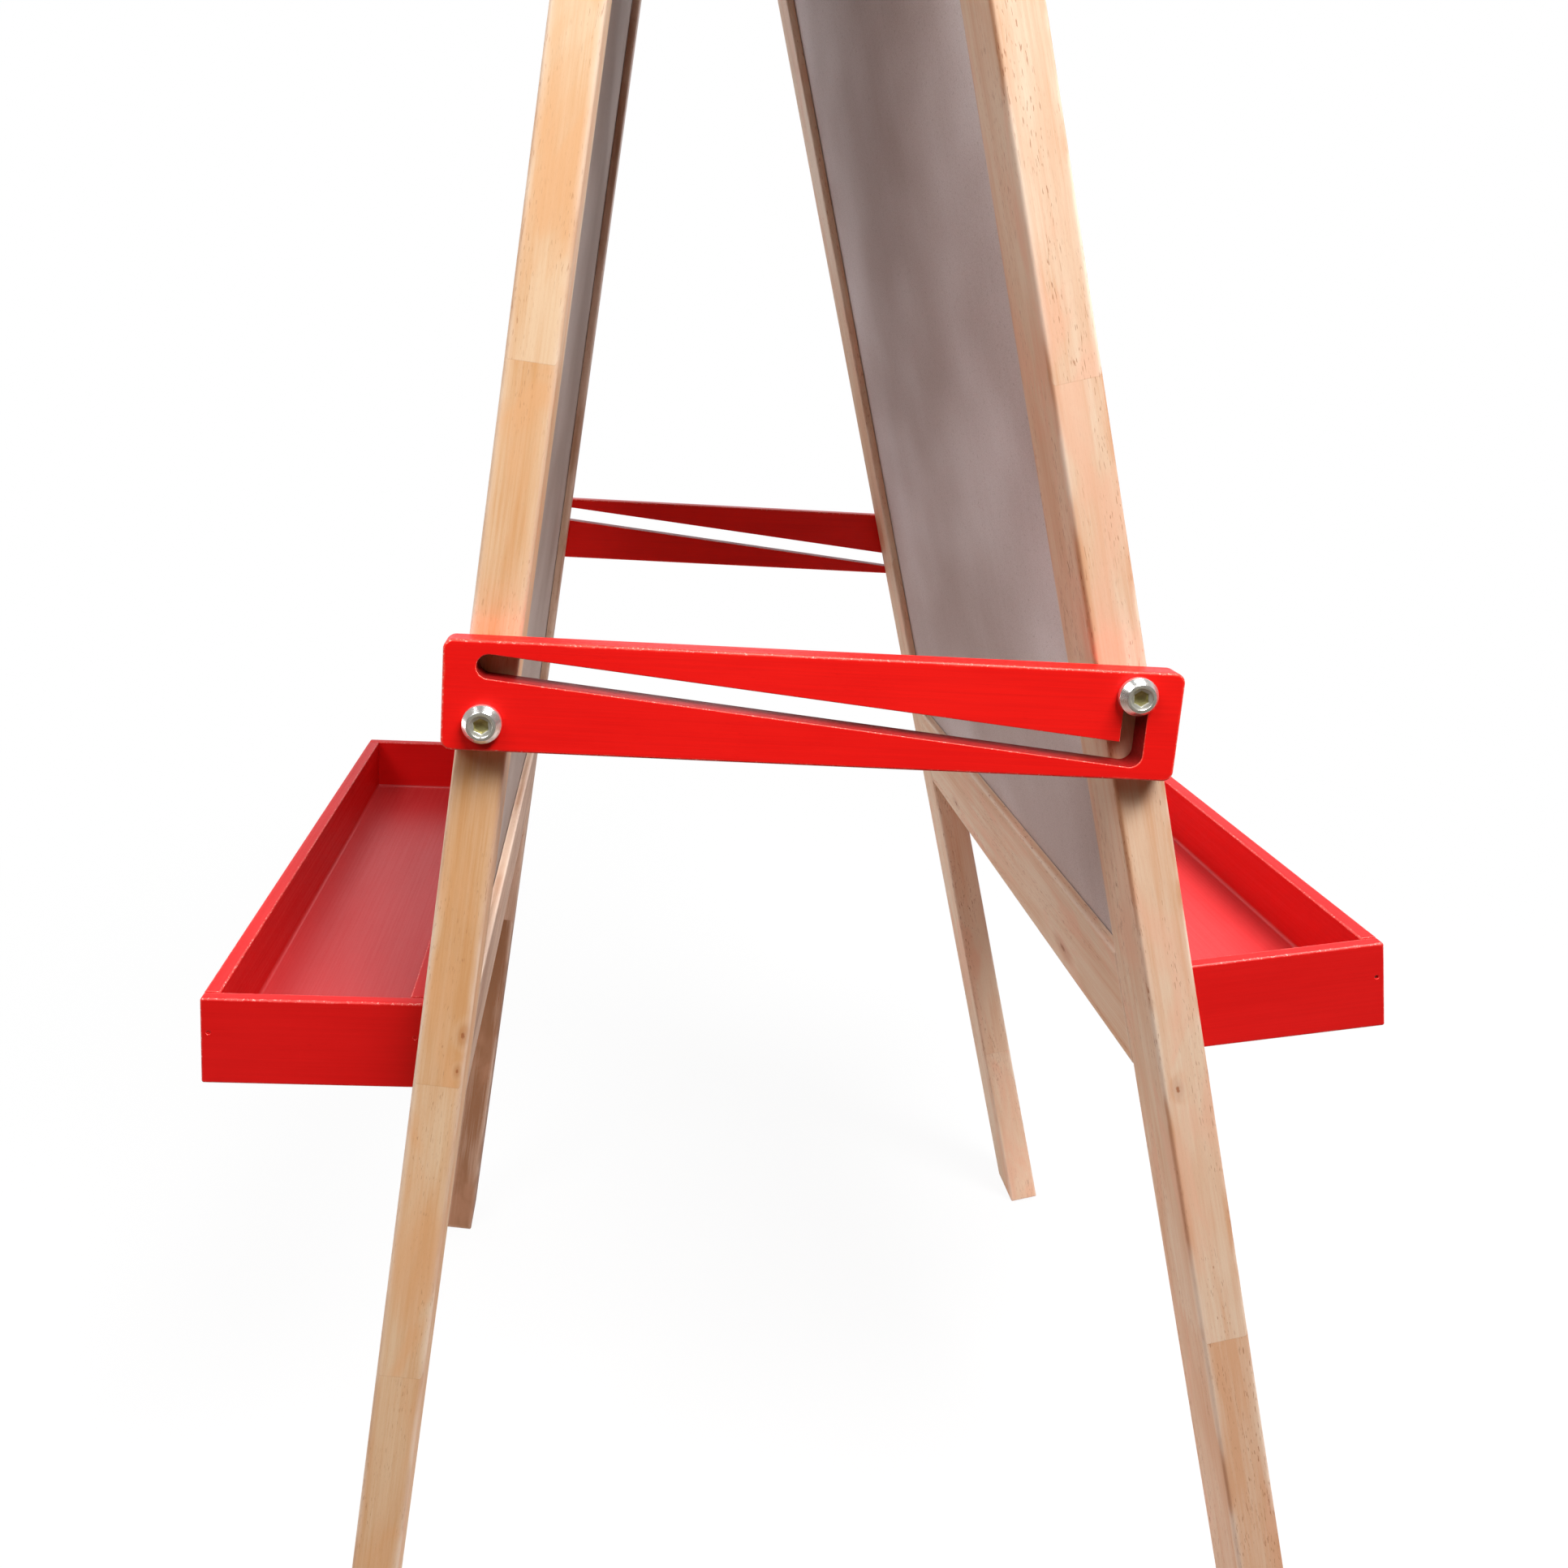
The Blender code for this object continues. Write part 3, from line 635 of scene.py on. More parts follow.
def buildMetalGroup():
    # plated steel: turning rings round the axis, hairline scratches and cloudy tarnish
    tree, into, out = startGroup("metalSurface", [
        ("Grain", "Vector", None), ("Bright", "Color", None), ("Dull", "Color", None),
        ("Smooth", "Float", 0.18), ("Rough", "Float", 0.38), ("Rings", "Float", 1.0)], surfaceOutputs)
    parts = addNode(tree, "SeparateXYZ", {0: into["Grain"]}).outputs
    radius = vectors(tree, "LENGTH", addNode(tree, "CombineXYZ", {0: parts[0], 1: parts[1]}).outputs[0])
    ringPlace = addNode(tree, "CombineXYZ", {0: radius, 2: times(tree, parts[2], 0.4)})
    rings = times(tree, noise(tree, ringPlace.outputs[0], 7.0, 2.0, 0.6), into["Rings"])
    cloud = noise(tree, into["Grain"], 0.30, 3.0, 0.6)
    scratch = grained(tree, into["Grain"], (0.4, 7.0, 2.0), 2.0, 0.7, 0.3)
    dull = plus(tree, ramp(tree, cloud, 0.38, 0.66, 0.0, 0.65), ramp(tree, scratch, 0.6, 0.75, 0.0, 0.3),
                clamp=True)
    tree.links.new(mixed(tree, dull, into["Bright"], into["Dull"]), out["Color"])
    spread = minus(tree, into["Rough"], into["Smooth"])
    tree.links.new(sums(tree, "MULTIPLY_ADD", dull, spread, into["Smooth"]), out["Roughness"])
    tree.links.new(weighed(tree, (rings, 0.6), (scratch, 0.3)), out["Height"])
    return tree


wearGroup = buildWearGroup()
woodGroup = buildWoodGroup()
paintGroup = buildPaintGroup(wearGroup)
fibreGroup = buildFibreGroup()
filmGroup = buildFilmGroup()
metalGroup = buildMetalGroup()

# finishes

def surfaceFinish(name, group, look, values=None):
    # a material from one surface group: the look's entries go to the group's inputs of the same
    # name, and the group's colour, roughness and height go to the shader
    material, tree, shader, grain, rim = startMaterial(name)
    labels = [item.name for item in group.interface.items_tree if item.in_out == "INPUT"]
    given = {"Grain": grain, "Rim": rim, **{key.title(): value for key, value in look.items()},
             **(values or {})}
    surface = fillGroup(tree, group, {label: given[label] for label in labels if label in given}).outputs
    tree.links.new(surface["Color"], shader.inputs["Base Color"])
    tree.links.new(surface["Roughness"], shader.inputs["Roughness"])
    for label, key in (("Specular IOR Level", "specular"), ("Metallic", "metal")):
        if key in look:
            shader.inputs[label].default_value = look[key]
    bumpFrom(tree, shader, surface["Height"], look["bump"], look["bumpDepth"])
    return material


# the pale edge colour below is partly worn wood and partly a painted highlight on the rounded edges
woodLook = {"dark": (0.36, 0.115, 0.04, 1), "wornglint": (0.90, 0.75, 0.63, 1), "specular": 0.35, "bump": 0.32,
            "bumpDepth": 0.00012}
woodTones = {      # each timber's lighter and deeper colour, its patches of blush and how far its pores show
    "golden": {"pale": (0.80, 0.575, 0.37, 1), "warm": (0.68, 0.36, 0.155, 1), "blush": (0.78, 0.43, 0.21, 1),
               "pores": 0.36},
    "rosy": {"pale": (0.84, 0.655, 0.49, 1), "warm": (0.73, 0.42, 0.245, 1), "blush": (0.84, 0.49, 0.33, 1),
             "pores": 0.58},
    # brown is a darker copy of the same timber: painted shade for the parts of the left frame that stand in shade,
    # its far leg and its rails
    "brown": {"pale": (0.66, 0.47, 0.35, 1), "warm": (0.31, 0.145, 0.07, 1), "blush": (0.46, 0.24, 0.14, 1),
              "pores": 0.45},
}


def woodFinish(name, seed, lengthTones, knots, knotSize, tone, varnish):
    # lengthTones: the first length's tone, then the place of each joint and the tone after it
    values = {"Seed": seed, "Knot Size": knotSize, "Varnish": varnish, "First Tone": lengthTones[0]}
    last = lengthTones[0]
    for letter, (place, after) in zip("ABC", lengthTones[1:]):
        values["Joint " + letter], values["Step " + letter] = place, after - last
        last = after
    values.update(zip(("Knot", "Knot B"), knots))
    # the piece that takes this finish is the next one made
    values["Start"] = tuple(float(x) for x in grainStep * (grainShift[0] + 1))
    return surfaceFinish(name, woodGroup, {**woodLook, **woodTones[tone]}, values)


paintLooks = {
    "bracePaint": {
        "paint": (0.88, 0.010, 0.007, 1), "deep": (0.76, 0.005, 0.004, 1), "thin": (0.90, 0.075, 0.050, 1),
        "primer": (0.92, 0.42, 0.34, 1), "wear": 0.8, "specular": 0.28, "bump": 0.22, "bumpDepth": 0.00010},
    "slotShadePaint": {      # darker paint on the routed walls of the slot: painted shade for walls that lie in the shadow of the plate
        "paint": (0.40, 0.008, 0.008, 1), "deep": (0.22, 0.005, 0.006, 1), "thin": (0.50, 0.05, 0.03, 1),
        "primer": (0.30, 0.10, 0.06, 1), "wear": 0.3, "specular": 0.2, "bump": 0.5, "bumpDepth": 0.00014},
    "trayPaint": {
        "paint": (0.72, 0.008, 0.008, 1), "deep": (0.65, 0.005, 0.005, 1), "thin": (0.82, 0.085, 0.075, 1),
        "primer": (0.92, 0.48, 0.42, 1), "wear": 0.8, "specular": 0.26, "bump": 0.12, "bumpDepth": 0.00010},
    "trayFloorSheenPaint": {      # the floors are paler and pinker than the walls: painted sheen of the light on their upward faces
        "paint": (0.62, 0.040, 0.043, 1), "deep": (0.58, 0.026, 0.028, 1), "thin": (0.80, 0.11, 0.10, 1),
        "primer": (0.90, 0.45, 0.42, 1), "wear": 0.4, "specular": 0.50, "bump": 0.07, "bumpDepth": 0.00008},
}
paints = {name: surfaceFinish(name, paintGroup, look) for name, look in paintLooks.items()}

fibreBump = {"specular": 0.25, "bump": 0.35, "bumpDepth": 0.00012}
# the two boards share one raw fibreboard: the left board's darker colours are painted shade for the inside of the
# left frame, and the right board's paler colours are painted light on its back
fibreLitAndShadedLooks = {
    "left": {"pale": (0.55, 0.49, 0.46, 1), "brown": (0.38, 0.30, 0.26, 1), "speck": (0.14, 0.095, 0.075, 1)},
    "right": {"pale": (0.83, 0.79, 0.82, 1), "brown": (0.57, 0.485, 0.48, 1), "speck": (0.17, 0.115, 0.09, 1)},
}
rawFibreLitAndShaded = {side: surfaceFinish(side + "RawFibreboard", fibreGroup, {**fibreBump, **look})
            for side, look in fibreLitAndShadedLooks.items()}

chalkLook = {"board": (0.026, 0.040, 0.034, 1), "worn": (0.040, 0.058, 0.050, 1), "dust": (0.42, 0.44, 0.42, 1),
             "amount": 0.34, "specular": 0.3, "bump": 0.35, "bumpDepth": 0.00010}


def chalkFinish():
    s = chalkLook
    material, tree, shader, grain = startMaterial("chalkPaint")[:4]
    film = fillGroup(tree, filmGroup, {"Grain": grain, "Amount": s["amount"]}).outputs
    fine = noise(tree, grain, 2.2, 4.0, 0.7)
    base = mixed(tree, ramp(tree, fine, 0.35, 0.7), s["board"], s["worn"])
    base = mixed(tree, times(tree, film["Mask"], 0.36), base, s["dust"])
    base = mixed(tree, times(tree, film["Specks"], 0.9), base, s["dust"])
    tree.links.new(base, shader.inputs["Base Color"])
    tree.links.new(ramp(tree, film["Mask"], 0.0, 0.5, 0.68, 0.86), shader.inputs["Roughness"])
    shader.inputs["Specular IOR Level"].default_value = s["specular"]
    bumpFrom(tree, shader, fine, s["bump"], s["bumpDepth"])
    return material


whiteLook = {"film": (0.86, 0.87, 0.87, 1), "cool": (0.80, 0.82, 0.84, 1), "ghost": (0.50, 0.56, 0.64, 1),
             "amount": 0.30, "bump": 0.06, "bumpDepth": 0.0002}


def whiteFinish():
    s = whiteLook
    material, tree, shader, grain = startMaterial("dryWipeFilm")[:4]
    film = fillGroup(tree, filmGroup, {"Grain": grain, "Amount": s["amount"]}).outputs
    base = mixed(tree, ramp(tree, noise(tree, grain, 0.006, 2.0), 0.35, 0.65), s["film"], s["cool"])
    base = mixed(tree, times(tree, film["Mask"], 0.22), base, s["ghost"])
    tree.links.new(base, shader.inputs["Base Color"])
    tree.links.new(ramp(tree, film["Mask"], 0.0, 0.4, 0.10, 0.20), shader.inputs["Roughness"])
    bumpFrom(tree, shader, noise(tree, grain, 0.22, 2.0, 0.4), s["bump"], s["bumpDepth"])
    return material


metalLooks = {
    "brightZinc": {"bright": (0.93, 0.93, 0.91, 1), "dull": (0.80, 0.80, 0.77, 1), "smooth": 0.18,
                   "rough": 0.32, "rings": 0.6, "metal": 0.86, "bump": 0.15},
    "dullZinc": {"bright": (0.46, 0.46, 0.41, 1), "dull": (0.30, 0.30, 0.25, 1), "smooth": 0.36, "rough": 0.50,
                 "rings": 1.0, "metal": 0.5, "bump": 0.35},
    "socketZinc": {"bright": (0.56, 0.53, 0.27, 1), "dull": (0.30, 0.27, 0.12, 1), "smooth": 0.28,
                   "rough": 0.45, "rings": 0.4, "metal": 0.6, "bump": 0.40},
    "hingeSteel": {"bright": (0.74, 0.74, 0.72, 1), "dull": (0.56, 0.56, 0.53, 1), "smooth": 0.24,
                   "rough": 0.42, "rings": 0.15, "metal": 1.0, "bump": 0.30},
    "insertBrass": {"bright": (0.80, 0.62, 0.28, 1), "dull": (0.58, 0.42, 0.18, 1), "smooth": 0.24,
                    "rough": 0.42, "rings": 1.0, "metal": 1.0, "bump": 0.35},
    "nailSteel": {"bright": (0.34, 0.20, 0.18, 1), "dull": (0.26, 0.035, 0.03, 1), "smooth": 0.40,
                  "rough": 0.60, "rings": 0.6, "metal": 0.5, "bump": 0.5},
}
metalBumpDepth = 0.00004
chalkPaint = chalkFinish()
dryWipeFilm = whiteFinish()
metals = {name: surfaceFinish(name, metalGroup, {**look, "bumpDepth": metalBumpDepth})
          for name, look in metalLooks.items()}
print("finishes ready")

# legs: square timber with rounded edges, a groove and two mortises inside, an insert hole outside

legSettings = {
    "edge": 0.0016, "band": 0.0018, "endCorner": 0.0009, "groove": 0.0063, "slack": 0.0003,
    "mortiseDepth": 0.0143, "mortiseHalf": 0.0043, "mortiseShoulder": 0.0087, "mouthRound": 0.0002,
    "insertDeep": 0.0148, "insertRound": 0.0052, "insertEdge": 0.0003, "insertBand": 0.0006, "knotSize": 1.2,
    # of each leg's wood: the first length's tone, then the place of each joint and the tone after it
    "woods": {
        "left_leg_near": {"lengthTones": (-0.22, (491.0, 0.10), (784.0, -0.12), (921.0, 0.08)), "seed": 3.0,
                          "knots": [(4.4, 185.0, 755.0), (4.8, 185.0, 771.0)], "tone": "golden",
                          "varnish": 0.45},
        # the last length, past 905 mm down the leg, is toned darker: painted shade for the foot, which stands in
        # the near left leg's shadow
        "left_leg_far": {"lengthTones": (-0.40, (410.0, -0.30), (905.0, 0.45)), "seed": 21.0,
                         "knots": [(21.9, 170.0, 640.0)], "tone": "brown", "varnish": 0.6},
        "right_leg_near": {"lengthTones": (-0.05, (212.0, -0.22), (505.0, -0.06), (925.0, 0.30)), "seed": 47.0,
                           "knots": [(8.0, 185.0, 796.0)], "tone": "rosy", "varnish": 1.0},
        "right_leg_far": {"lengthTones": (-0.05, (300.0, -0.20), (640.0, -0.30), (1035.0, -0.35)), "seed": 65.0,
                          "knots": [(13.0, 185.0, 380.0)], "tone": "rosy", "varnish": 0.6},
    },
}


def buildLeg(side, place):
    s, node = legSettings, f"{side}_leg_{place}"
    axes = frameAxes(side, -1 if place == "near" else 1)
    low, high = span(node, axes)
    insert = span(f"{place}_{'pivot' if side == 'left' else 'lock'}_insert", axes)

    def pocket(x0, y0, x1, y1, depth):
        return {"loop": cornered(box(x0, y0, x1, y1), s["mouthRound"], 2, 0.0, 0.0), "depth": depth}

    boardLow, boardHigh = span(side + "_board", axes)
    pockets = [pocket(*(boardLow[:2] - s["slack"]), *(boardHigh[:2] + s["slack"]), s["groove"])]
    middle, half, shoulder = (low[0] + high[0]) / 2, s["mortiseHalf"], s["mortiseShoulder"]
    for which in ("top", "bottom"):
        railLow, railHigh = span(f"{side}_{which}_rail", axes)
        pockets.append(pocket(middle - half, railLow[1] + shoulder, middle + half, railHigh[1] - shoulder,
                              s["mortiseDepth"]))
    hole = {"loop": roundLoop((insert[0] + insert[1])[:2] / 2, s["insertRound"]), "depth": s["insertDeep"],
            "edge": s["insertEdge"], "band": s["insertBand"]}
    outline = cornered(box(*low[:2], *high[:2]), s["endCorner"], 4, wear=0.0)
    shell = slab(newShell(), outline, low[2], high[2], s["edge"], s["band"], tops=[hole], bottoms=pockets)
    wood = woodFinish(f"wood_{node}", knotSize=s["knotSize"], **s["woods"][node])
    makePiece(node + "_timber", node, shell, axes, hingeLine, side + "_frame", [wood], (0, 2, 1))


for side in sides:
    for place in places:
        buildLeg(side, place)
print("legs made")

# rails: a section with rounded edges and a board groove, carried across, with a tenon at each end

railSettings = {
    "edgeRound": 0.0012, "endEdge": 0.0004, "grooveDeep": 0.0063, "slack": 0.0003, "tenonLong": 0.014,
    "tenonHalf": 0.004, "tenonRound": 0.0004, "shoulder": 0.009, "lip": 0.0003, "seat": 0.0001,
    "wornBand": 0.0012, "endBand": 0.0006, "knotSize": 2.6,
    "seeds": {"left_top": 81.0, "left_bottom": 99.0, "right_top": 117.0, "right_bottom": 135.0},
    "knots": {"left_top": [], "left_bottom": [(20.0, 61.0)], "right_top": [(30.0, 12.0)],
              "right_bottom": [(42.0, -84.0), (44.0, 93.0)]},
    # the left rails take the brown copy of the timber: painted shade
    "tones": {"left": "brown", "right": "rosy"}, "lengthTones": {"left": -0.35, "right": -0.12},
}


def buildRail(side, which):
    s, node = railSettings, f"{side}_{which}_rail"
    axes = frameAxes(side)
    low, high = span(node, axes)
    reach = high[2] - s["tenonLong"]
    boardLow, boardHigh = span(side + "_board", axes)
    g0, g1, deep = boardLow[0] - s["slack"], boardHigh[0] + s["slack"], s["grooveDeep"]
    u0, v0, u1, v1 = low[0], low[1], high[0], high[1]
    r, lip, seat = s["edgeRound"], s["lip"], s["seat"]
    if which == "bottom":      # the groove is in the upper edge
        corners = [(u0, v0), (g0, v0), (g0, v0 + deep), (g1, v0 + deep), (g1, v0), (u1, v0), (u1, v1), (u0, v1)]
        radii = [r, lip, seat, seat, lip, r, r, r]
    else:
        corners = [(u0, v0), (u1, v0), (u1, v1), (g1, v1), (g1, v1 - deep), (g0, v1 - deep), (g0, v1), (u0, v1)]
        radii = [r, r, r, lip, seat, seat, lip, r]
    middle, half = (u0 + u1) / 2, s["tenonHalf"]
    tenonCorners = box(middle - half, v0 + s["shoulder"], middle + half, v1 - s["shoulder"])
    tenon = {"loop": cornered(tenonCorners, s["tenonRound"], 2, 0.0, 0.0), "depth": -s["tenonLong"]}
    section = cornered(corners, radii, 5, s["wornBand"])
    shell = slab(newShell(), section, -reach, reach, s["endEdge"], s["endBand"], tops=[tenon], bottoms=[tenon])
    rail = f"{side}_{which}"
    knots = [(u0 * 1000, v0 * 1000 + a, b) for a, b in s["knots"][rail]]
    # the rails have no varnish, so all their rounded edges, the ledge above the board too, take the pale edge
    # colour: partly wear, partly painted highlight
    wood = woodFinish(f"wood_{node}", s["seeds"][rail], (s["lengthTones"][side],), knots, s["knotSize"],
                      s["tones"][side], 0.0)
    makePiece(node + "_timber", node, shell, axes, hingeLine, side + "_frame", [wood], (0, 1, 2))


for side in sides:
    for which in ("top", "bottom"):
        buildRail(side, which)
print("rails made")

# boards: pressed fibreboard, raw behind, with a writing face outside

boardSettings = {"corner": 0.0006, "edge": 0.0004, "band": 0.002}


def buildBoard(side, face):
    s, node = boardSettings, side + "_board"
    axes = frameAxes(side)[[2, 1, 0]]
    low, high = span(node, axes)
    outline = cornered(box(*low[:2], *high[:2]), s["corner"], 3, wear=0.0)
    shell = slab(newShell(), outline, low[2], high[2], s["edge"], s["band"], 2, zones=(1, 0, 0))
    makePiece(node + "_sheet", node, shell, axes, hingeLine, side + "_frame", [rawFibreLitAndShaded[side], face],
              (2, 0, 1))


buildBoard("left", chalkPaint)
buildBoard("right", dryWipeFilm)
print("boards made")

# trays: butt-jointed painted boards round a floor with a soft fillet of paint, nailed at the ends

traySettings = {
    "edgeRound": 0.0009, "endEdge": 0.0003, "endBand": 0.0005, "sideBand": 0.0018, "corner": 0.0012,
    "faceBand": 0.0010, "cove": 0.0016, "coveSteps": 7, "coveInto": 0.0002, "coveWearAndSheen": 0.45,
    "nailRound": 0.0009, "nailDeep": 0.0021, "filled": 0.00028, "nailEdge": 0.0002,
}


def buildTray(side):
    s = traySettings
    axes = trayAxes(side)
    tilt = frameAxes(side)
    lean = (tilt[0] @ axes[1]) / (tilt[0] @ axes[0])      # how far the rail's face leans in the tray's axes
    name = side + "_tray_"
    endLow, endHigh = span(name + "end_near", axes)
    base, top, out = endLow[1], endHigh[1], endHigh[0]
    tall = top - base
    foot = endLow[0] + tall * lean        # where the bottom meets the rail's face
    r = s["edgeRound"]
    for which in ("outer", "inner"):
        low, high = span(name + which, axes)
        if which == "outer":
            corners = box(low[0], base, high[0], top)
        else:
            flat = high[0] - foot
            corners = [(foot, base), (foot + flat, base), (foot + flat - tall * lean, top),
                       (foot - tall * lean, top)]
        section = cornered(corners, r, 5, s["sideBand"])
        shell = slab(newShell(), section, low[2], high[2], s["endEdge"], s["endBand"])
        makePiece(name + which + "_board", name + which, shell, axes, hingeLine, side + "_frame",
                  [paints["trayPaint"]], (0, 1, 2))
    for place, hand in (("near", -1), ("far", 1)):
        turnedAxes = axes * np.array([[1], [1], [hand]])
        low, high = span(name + "end_" + place, turnedAxes)
        outline = cornered([(foot, base), (out, base), (out, top), (foot - tall * lean, top)], s["corner"], 5,
                           s["sideBand"], 0.6)
        nails = []
        for which in ("outer", "inner"):
            spot = span(f"{name}nail_{place}_{which}", turnedAxes)
            deep = s["nailDeep"] if (side, which) == ("right", "outer") else s["filled"]
            nails.append({"loop": roundLoop((spot[0] + spot[1])[:2] / 2, s["nailRound"], 24), "depth": deep,
                          "edge": s["nailEdge"], "band": s["nailEdge"]})
        shell = slab(newShell(), outline, low[2], high[2], r, s["faceBand"], tops=nails)
        makePiece(f"{name}end_{place}_board", f"{name}end_{place}", shell, turnedAxes, hingeLine,
                  side + "_frame", [paints["trayPaint"]], (2, 1, 0))
    buildFloor(side, axes, lean)


def coveHeight(distance, radius):
    # quarter hollow: full height at the wall, none one radius away from it
    near = np.clip(radius - distance, 0, radius)
    return radius - np.sqrt(radius ** 2 - near ** 2)


def border(grid):
    # the outermost ring of a grid
    return np.concatenate([grid[:-1, 0], grid[-1, :-1], grid[:0:-1, -1], grid[0, :0:-1]])


def buildFloor(side, axes, lean):
    # floor height over a grid: flat, rising in a hollow against each wall, closed below
    s, name = traySettings, side + "_tray_"
    low, high = span(name + "floor", axes)
    innerLow, innerHigh = span(name + "inner", axes)
    innerFace = innerHigh[0] - (high[1] - innerLow[1]) * lean
    outerFace = span(name + "outer", axes)[0][0]
    endFace = span(name + "end_far", axes)[0][2]
    r = s["cove"]
    steps = r * (1 - np.cos(np.linspace(0, np.pi / 2, s["coveSteps"])))

    def lines(first, wallA, wallB, last, count):
        inside = np.linspace(wallA + r, wallB - r, count)[1:-1]
        return np.concatenate([[first, wallA - s["coveInto"]], wallA + steps, inside, (wallB - steps)[::-1],
                               [wallB + s["coveInto"], last]])

    a = lines(low[0], innerFace, outerFace, high[0], 6)
    y = lines(low[2], -endFace, endFace, high[2], 14)
    nearA = np.minimum(np.abs(a - innerFace), np.abs(a - outerFace))
    nearY = np.minimum(np.abs(y - endFace), np.abs(y + endFace))
    nearA[[0, -1]] = nearY[[0, -1]] = 1.0
    riseA, riseY = coveHeight(nearA, r), coveHeight(nearY, r)
    lift = r - np.sqrt(np.clip((r - riseA)[:, None] ** 2 + (r - riseY)[None] ** 2 - r ** 2, 0, None))
    lift = np.maximum(np.maximum(riseA[:, None], riseY[None]), np.minimum(lift, r))
    lift[[0, -1]] = 0
    lift[:, [0, -1]] = 0
    shell = newShell()
    gridA, gridY = np.meshgrid(a, y, indexing="ij")
    # the fillet takes a raised edge value, so its paint turns to the paler edge colour: partly thin paint, partly
    # painted sheen along the fillet
    worn = np.clip(lift / r, 0, 1) * s["coveWearAndSheen"]
    upper = addPoints(shell, np.stack([gridA, high[1] + lift, gridY], -1), worn)
    lower = addPoints(shell, np.stack([gridA, np.full_like(gridA, low[1]), gridY], -1))
    joinRings(shell, upper, 0, closed=False)
    joinRings(shell, lower[::-1], 0, closed=False)
    joinRings(shell, np.array([border(upper), border(lower)])[::-1], 0)
    # the floor takes the paler, pinker paint: painted sheen
    makePiece(name + "floor_panel", name + "floor", shell, axes, hingeLine, side + "_frame",
              [paints["trayFloorSheenPaint"]], (1, 0, 2), sharp=50.0)


for side in sides:
    buildTray(side)
print("trays made")

# nails and screws


def axialPlace(node, direction):
    # rows: two across the axis and the axis itself, and the point on the axis at its outer end
    axis = unit(direction)
    across = unit(np.cross(farward if abs(axis[1]) < 0.9 else upward, axis))
    axes = np.array([across, np.cross(axis, across), axis])
    low, high = span(node, axes, np.zeros(3))
    middle = (low + high) / 2
    return axes, np.array([middle[0], middle[1], high[2]]) @ axes, high[2] - low[2]


def turnedSolid(profile, angles, top, bottom, zones=0, thread=None, topZone=0):
    # a turned piece closed at both ends, with its middle points at these two heights
    shell = newShell()
    rings = turned(shell, profile, angles, zones, thread)
    closeWithFan(shell, rings[0], (0, 0, top), topZone)
    closeWithFan(shell, rings[-1], (0, 0, bottom), 0, up=False)
    return shell


nailSettings = {"head": 0.0012, "headTall": 0.0008, "shank": 0.0008, "punch": 0.0005, "dished": 0.00018}


def buildNail(side, place, which):
    s, node = nailSettings, f"{side}_tray_nail_{place}_{which}"
    axes, tip, length = axialPlace(node, (0, -1 if place == "near" else 1, 0))
    dished = s["dished"]      # the punch leaves a small hollow in the head
    profile = [(s["punch"] * 0.4, -dished), (s["punch"], -dished * 0.7), (s["punch"] * 1.3, -0.00003),
               (s["head"] - 0.00015, 0), (s["head"], -0.00015), (s["head"], -s["headTall"] + 0.0002),
               (s["shank"], -s["headTall"] - 0.0001), (s["shank"], -length + 0.002),
               (s["shank"] * 0.3, -length)]
    shell = turnedSolid(profile, fullTurn(24), -dished, -length)
    makePiece(node + "_pin", node, shell, axes, tip, side + "_frame", [metals["nailSteel"]],
              weighted=False)


for side in sides:
    for place in places:
        for which in ("outer", "inner"):
            buildNail(side, place, which)

screwSettings = {"head": 0.0027, "cone": 0.0013, "shank": 0.0013, "pitch": 0.0011, "thread": 0.00035,
                 "arm": 0.54, "armWide": 0.155, "recess": 0.0011}


def crossHead(shell, radius, s):
    # a square grid bent to a disc; points inside the two crossed arms sink, deepest in the middle
    half = np.array([0, 0.06, 0.13, 0.18, 0.27, 0.38, 0.50, 0.57, 0.68, 0.80, 0.91, 1.0])
    line = np.concatenate([-half[:0:-1], half])
    u, v = np.meshgrid(line, line, indexing="ij")
    x, y = u * np.sqrt(1 - v ** 2 / 2), v * np.sqrt(1 - u ** 2 / 2)
    longer, shorter = np.maximum(abs(u), abs(v)), np.minimum(abs(u), abs(v))
    within = (longer < s["arm"]) & (shorter < s["armWide"])
    sink = np.where(within, s["recess"] * (1 - 0.62 * longer / s["arm"]), 0)
    crown = 0.00010 * (1 - (x ** 2 + y ** 2))
    grid = addPoints(shell, np.stack([x * radius, y * radius, crown - 0.0001 - sink], -1))
    joinRings(shell, grid, 0, closed=False)
    edge = border(grid)
    return edge, np.arctan2(shell["points"][edge][:, 1], shell["points"][edge][:, 0])


def buildScrew(node, direction, body):
    s = screwSettings
    axes, tip, length = axialPlace(node, direction)
    shell = newShell()
    edge, angles = crossHead(shell, s["head"] - 0.0001, s)
    down = np.arange(-s["cone"] - 0.0004, -length + 0.003, -0.00022)
    taper = [(s["shank"] * k, -length + 0.003 * k) for k in (0.8, 0.5, 0.2)]
    head = [(s["head"], -0.00022), (s["shank"] + 0.0001, -s["cone"])]
    thread = (s["pitch"], s["thread"], -length + 0.003, -s["cone"] - 0.003)
    rings = turned(shell, head + [(s["shank"], h) for h in down] + taper, angles, thread=thread)
    joinRings(shell, np.array([edge, rings[0]]))
    closeWithFan(shell, rings[-1], (0, 0, -length), up=False)
    makePiece(node + "_cross_head", node, shell, axes, tip, body, [metals["brightZinc"]], sharp=38.0,
              weighted=False)


for side in sides:
    outward = frameAxes(side)[0]
    for place in places:
        buildScrew(f"{side}_tray_screw_{place}", outward, side + "_frame")
        for end in ("a", "b"):
            buildScrew(f"{place}_hinge_screw_{side}_{end}", -outward, side + "_frame")
print("nails and screws made")

# braces: slotted plates with rounded edges; the slot runs down to a notch that holds the lock bolt

